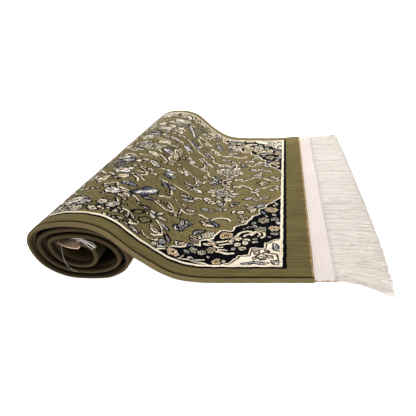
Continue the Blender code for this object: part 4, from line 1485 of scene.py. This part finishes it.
def thin_sheet(top, thickness):
    """A closed thin sheet from a grid of points: the grid, the same grid pushed
    against its own outward way, and the quads between their rims."""
    out = np.cross(np.gradient(top, axis=0), np.gradient(top, axis=1))
    out /= np.linalg.norm(out, axis=-1, keepdims=True)
    rows, columns = top.shape[:2]
    points = np.concatenate([(top + out * thickness / 2), (top - out * thickness / 2)])
    faces = grid_faces(rows, columns)
    number = np.arange(rows * columns).reshape(rows, columns)
    rim = np.concatenate([number[:-1, 0], number[-1, :-1], number[:0:-1, -1], number[0, :0:-1]])
    after = np.roll(rim, -1)
    below = rows * columns
    walls = np.stack([after, rim, rim + below, after + below], axis=-1)
    return points, [*faces, *(faces[:, ::-1] + below), *walls]


INNER_REACH = 1.30  # the tape is folded this much deeper than in the solids
NEAR_END = 0.024  # how much of the tape hangs open at its near end
DROOP = 0.0065  # how far its lower layer hangs there
NARROWS = 0.014  # and how far its upper layer is drawn in


def inner_tape(material):
    """The inner end's tape, folded back over the pile: its bent section carried from
    side to side, as far along and down as the roll's far side lies. Its near end
    hangs open: the lower layer droops, and the upper one is drawn in."""
    inner = PROFILE[-1]
    line = np.array([(-past * INNER_REACH, up) for past, up in INNER_TAPE])
    line = curve_through(line, 2.0) * MM
    share = np.linspace(0, 1, len(line))[:, None]
    start, end = TAPE_INSET + CREEP - 0.004, WIDTH - TAPE_INSET + CREEP
    y = spaced((start, start + 0.028, 0.002), (start + 0.028, end, 0.006))[None, :]
    lag = (y - CREEP) / WIDTH
    x = (inner.x + inner.far_x * lag) * MM + line[:, :1]
    z = (inner.z + inner.far_z * lag) * MM + line[:, 1:]
    near_end = smooth(1 - (y - start) / NEAR_END)
    lower = smooth(1 - share / 0.5)
    z = z - near_end * (DROOP * lower * smooth(share / 0.06 + 0.4) - 0.001 * (1 - lower))
    y = y + NARROWS * near_end * rise(share, 0.45, 0.70)
    top = np.stack(np.broadcast_arrays(x, y, z), axis=-1) + SHIFT_TO_FRAME
    points, faces = thin_sheet(top, INNER_TAPE_THICKNESS)
    # Darker further round the fold, from a tenth of the way on.
    further_round = np.broadcast_to(rise(share, 0.1, 0.4), top.shape[:2]).ravel()
    tint = 1 - np.tile(further_round, 2)
    bare = np.full(tint.shape, NO_STITCHES)
    fields = {"tint": tint, "groove_shade": np.zeros(tint.shape), "overcast": bare}
    return piece("inner_tape", points, faces, material, fields)


INNER_YARNS = 420
INNER_RADIUS = 0.0005


def inner_fringe(material):
    """The inner fringe: yarns that run back over the pile between the turns, and lean
    towards the far side, all but those at its far end."""
    random = np.random.default_rng(3)
    inner = PROFILE[-1]
    past, up = INNER_TAPE[-1]
    steps = np.cumsum([(0.0, 0.0), *INNER_STEPS], axis=0)
    line = curve_through(steps, 3.0) * MM
    start, end = TAPE_INSET + CREEP, WIDTH - TAPE_INSET + CREEP
    y0 = np.sort(random.uniform(start + 0.001, end - 0.001, INNER_YARNS))[:, None]
    share = np.linspace(0, 1, len(line))[None, :]
    lag = (y0 - CREEP) / WIDTH
    x = (inner.x - past * INNER_REACH + inner.far_x * lag) * MM + line[None, :, 0] - 0.002
    z = (inner.z + up + inner.far_z * lag) * MM + line[None, :, 1]
    phase = random.uniform(0, 2 * np.pi, (INNER_YARNS, 1))
    lean = INNER_LEAN * smooth((WIDTH - y0) / 0.25) * share**1.4
    y = y0 + lean + 0.0012 * np.sin(phase + 5 * share) * share
    paths = np.stack(np.broadcast_arrays(x, y, z), axis=-1) + SHIFT_TO_FRAME
    tint = random.uniform(0, 1, INNER_YARNS)
    return yarns("inner_fringe", paths, INNER_RADIUS, material, tint)


# Seen in the roll's eye, in the profile's own millimetres: yarns that have slipped
# forward over the edge of the innermost turn, and one loose thread that hangs from
# the tape onto the turn below.
SLIPPED = ((-280, 18, 62.0), (-275, 14, 63.0), (-268, 11, 62.5), (-262, 9.0, 60.5),
           (-256, 8.0, 57.0), (-251, 7.5, 53.0))  # fmt: skip
THREAD = ((-297, 10, 56), (-295.5, 6, 49.5), (-294.5, 4, 40), (-292, 2.5, 31),
          (-286.5, 1.5, 23.5), (-279.5, 1.5, 19.5))  # fmt: skip
SPREAD = (-0.9, -0.3, 0.0, 0.3, 1.0)  # one slipped yarn each, as shares of APART
APART = (-3.4, 0.5, -3.2)
SLIPPED_RADIUS, THREAD_RADIUS = 0.00030, 0.00013


def loose_yarns(material):
    """The slipped yarns and the hanging thread, each a smooth line near its row of
    points, the slipped ones spread more and more towards their ends."""
    random = np.random.default_rng(5)
    apart = np.array(SPREAD)[:, None, None] * APART
    lines = SLIPPED + apart * np.linspace(0.25, 1, len(SLIPPED))[None, :, None] ** 1.3
    lines = lines + random.normal(0, 0.7, lines.shape)
    smooth_lines = np.array([curve_through(line, 12.0) for line in [*lines, THREAD]])
    radius = np.array([SLIPPED_RADIUS] * len(SPREAD) + [THREAD_RADIUS])[:, None]
    tint = np.append(random.uniform(0, 1, len(SPREAD)), 0.0)
    paths = smooth_lines * MM + SHIFT_TO_FRAME
    return yarns("loose_yarns", paths, radius, material, tint, sides=5)


# -------------------------------------------------------------------- studio, camera
FLOOR_GLOW = 1.0  # the floor is lit from within, so that it stays pale in the shade


def floor():
    """A plain pale floor, 8 metres across, that glows: painted light that keeps the rug's
    shadow on it pale and lights the rug from below.
    """
    material, nodes, shader = new_material("pale floor", 0.9, specular=0.1)
    grain = nodes.noise(object_places(nodes), 3.0)
    shade = nodes.sum("MULTIPLY_ADD", grain, 0.01, 0.93)
    nodes.join(shade, shader.inputs["Base Color"])
    # The glow is painted light.
    shader.inputs["Emission Color"].default_value = (1.0, 1.0, 1.0, 1.0)
    shader.inputs["Emission Strength"].default_value = FLOOR_GLOW
    mesh = bpy.data.meshes.new("floor")
    corners = [(-4, -4, 0), (4, -4, 0), (4, 4, 0), (-4, 4, 0)]
    mesh.from_pydata(corners, [], [(0, 1, 2, 3)])
    mesh.materials.append(material)
    obj = bpy.data.objects.new("floor", mesh)
    bpy.context.scene.collection.objects.link(obj)


def soft_light(name, place, aim, size, power):
    """A round lamp at a place, turned so that it shines towards aim."""
    light = bpy.data.lights.new(name, "AREA")
    light.shape, light.size, light.energy = "DISK", size, power
    obj = bpy.data.objects.new(name, light)
    obj.location = place
    way = np.array(aim, float) - np.array(place, float)
    obj.rotation_euler = Vector(way).to_track_quat("-Z", "Y").to_euler()
    bpy.context.scene.collection.objects.link(obj)


def studio():
    """A pale surround, brightest overhead and beyond the rug's far side, and one large
    soft light above."""
    world = bpy.data.worlds.new("studio")
    world.use_nodes = True
    nodes = Nodes(world.node_tree)
    around = nodes.add("ShaderNodeTexCoord").outputs["Generated"]
    way = nodes.add("ShaderNodeSeparateXYZ", Vector=around).outputs
    height = nodes.sum("MULTIPLY_ADD", way["Z"], 1.2, way["Y"])
    background = world.node_tree.nodes["Background"]
    nodes.join(nodes.mapped(height, -0.5, 0.7, 0.25, 1.0), background.inputs["Color"])
    bpy.context.scene.world = world
    soft_light("overhead", (0.0, 0.6, 1.6), (0.0, 0.0, 0.0), 2.0, 32.0)
    bpy.context.scene.view_settings.view_transform = "Standard"


def camera():
    """The photograph's view: from beyond the near side, square to it and tilted down."""
    data = bpy.data.cameras.new("camera")
    data.sensor_width, data.lens, data.shift_x = 36.0, LENS, SHIFT
    data.dof.use_dof = False
    obj = bpy.data.objects.new("camera", data)
    near_edge = SHIFT_TO_FRAME[1]
    obj.location = (SHIFT_TO_FRAME[0], near_edge - CAMERA_BACK, CAMERA_HEIGHT)
    obj.rotation_euler = (np.radians(90 - PITCH), 0.0, 0.0)
    bpy.context.scene.collection.objects.link(obj)
    bpy.context.scene.camera = obj


# ----------------------------------------------------------------------- assembly
mottle = yarn_mottle_group()
edge_yarn = edge_yarn_material(mottle)
white_tape = cotton_material("white cotton tape", (0.62, 0.562, 0.528, 1.0), mottle, 0.06)
white_fringe = cotton_material("white cotton fringe", (0.73, 0.675, 0.62, 1.0), mottle, 0.10)
# White cotton, coloured peach-tan: painted shade of the roll's eye, where this tape lies.
folded_tape = cotton_material("folded tape", (0.68, 0.50, 0.36, 1.0), mottle, 0.6)
# White cotton, brighter than the tape's: a painted highlight on the yarns in the roll's eye.
inner_yarn = cotton_material("inner fringe yarn", (0.95, 0.91, 0.86, 1.0), mottle, 0.14)

pile = cloth_pile(pile_material(mottle))
back = cloth_back(backing_material(mottle))
near_edge = edge_binding("edge_binding_near", True, edge_yarn)
far_edge = edge_binding("edge_binding_far", False, edge_yarn)
tape = end_tape(white_tape)
fringe = end_fringe(white_fringe)
folded = inner_tape(folded_tape)
strands = inner_fringe(inner_yarn)
slipped = loose_yarns(inner_yarn)

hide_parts("rug_body")
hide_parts("edge_roll_near")
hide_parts("edge_roll_far")
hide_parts("fringe_open_end")
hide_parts("fringe_open_end")
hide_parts("fringe_inner_end")
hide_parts("fringe_inner_end")
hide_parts("fringe_inner_end")

floor()
studio()
camera()
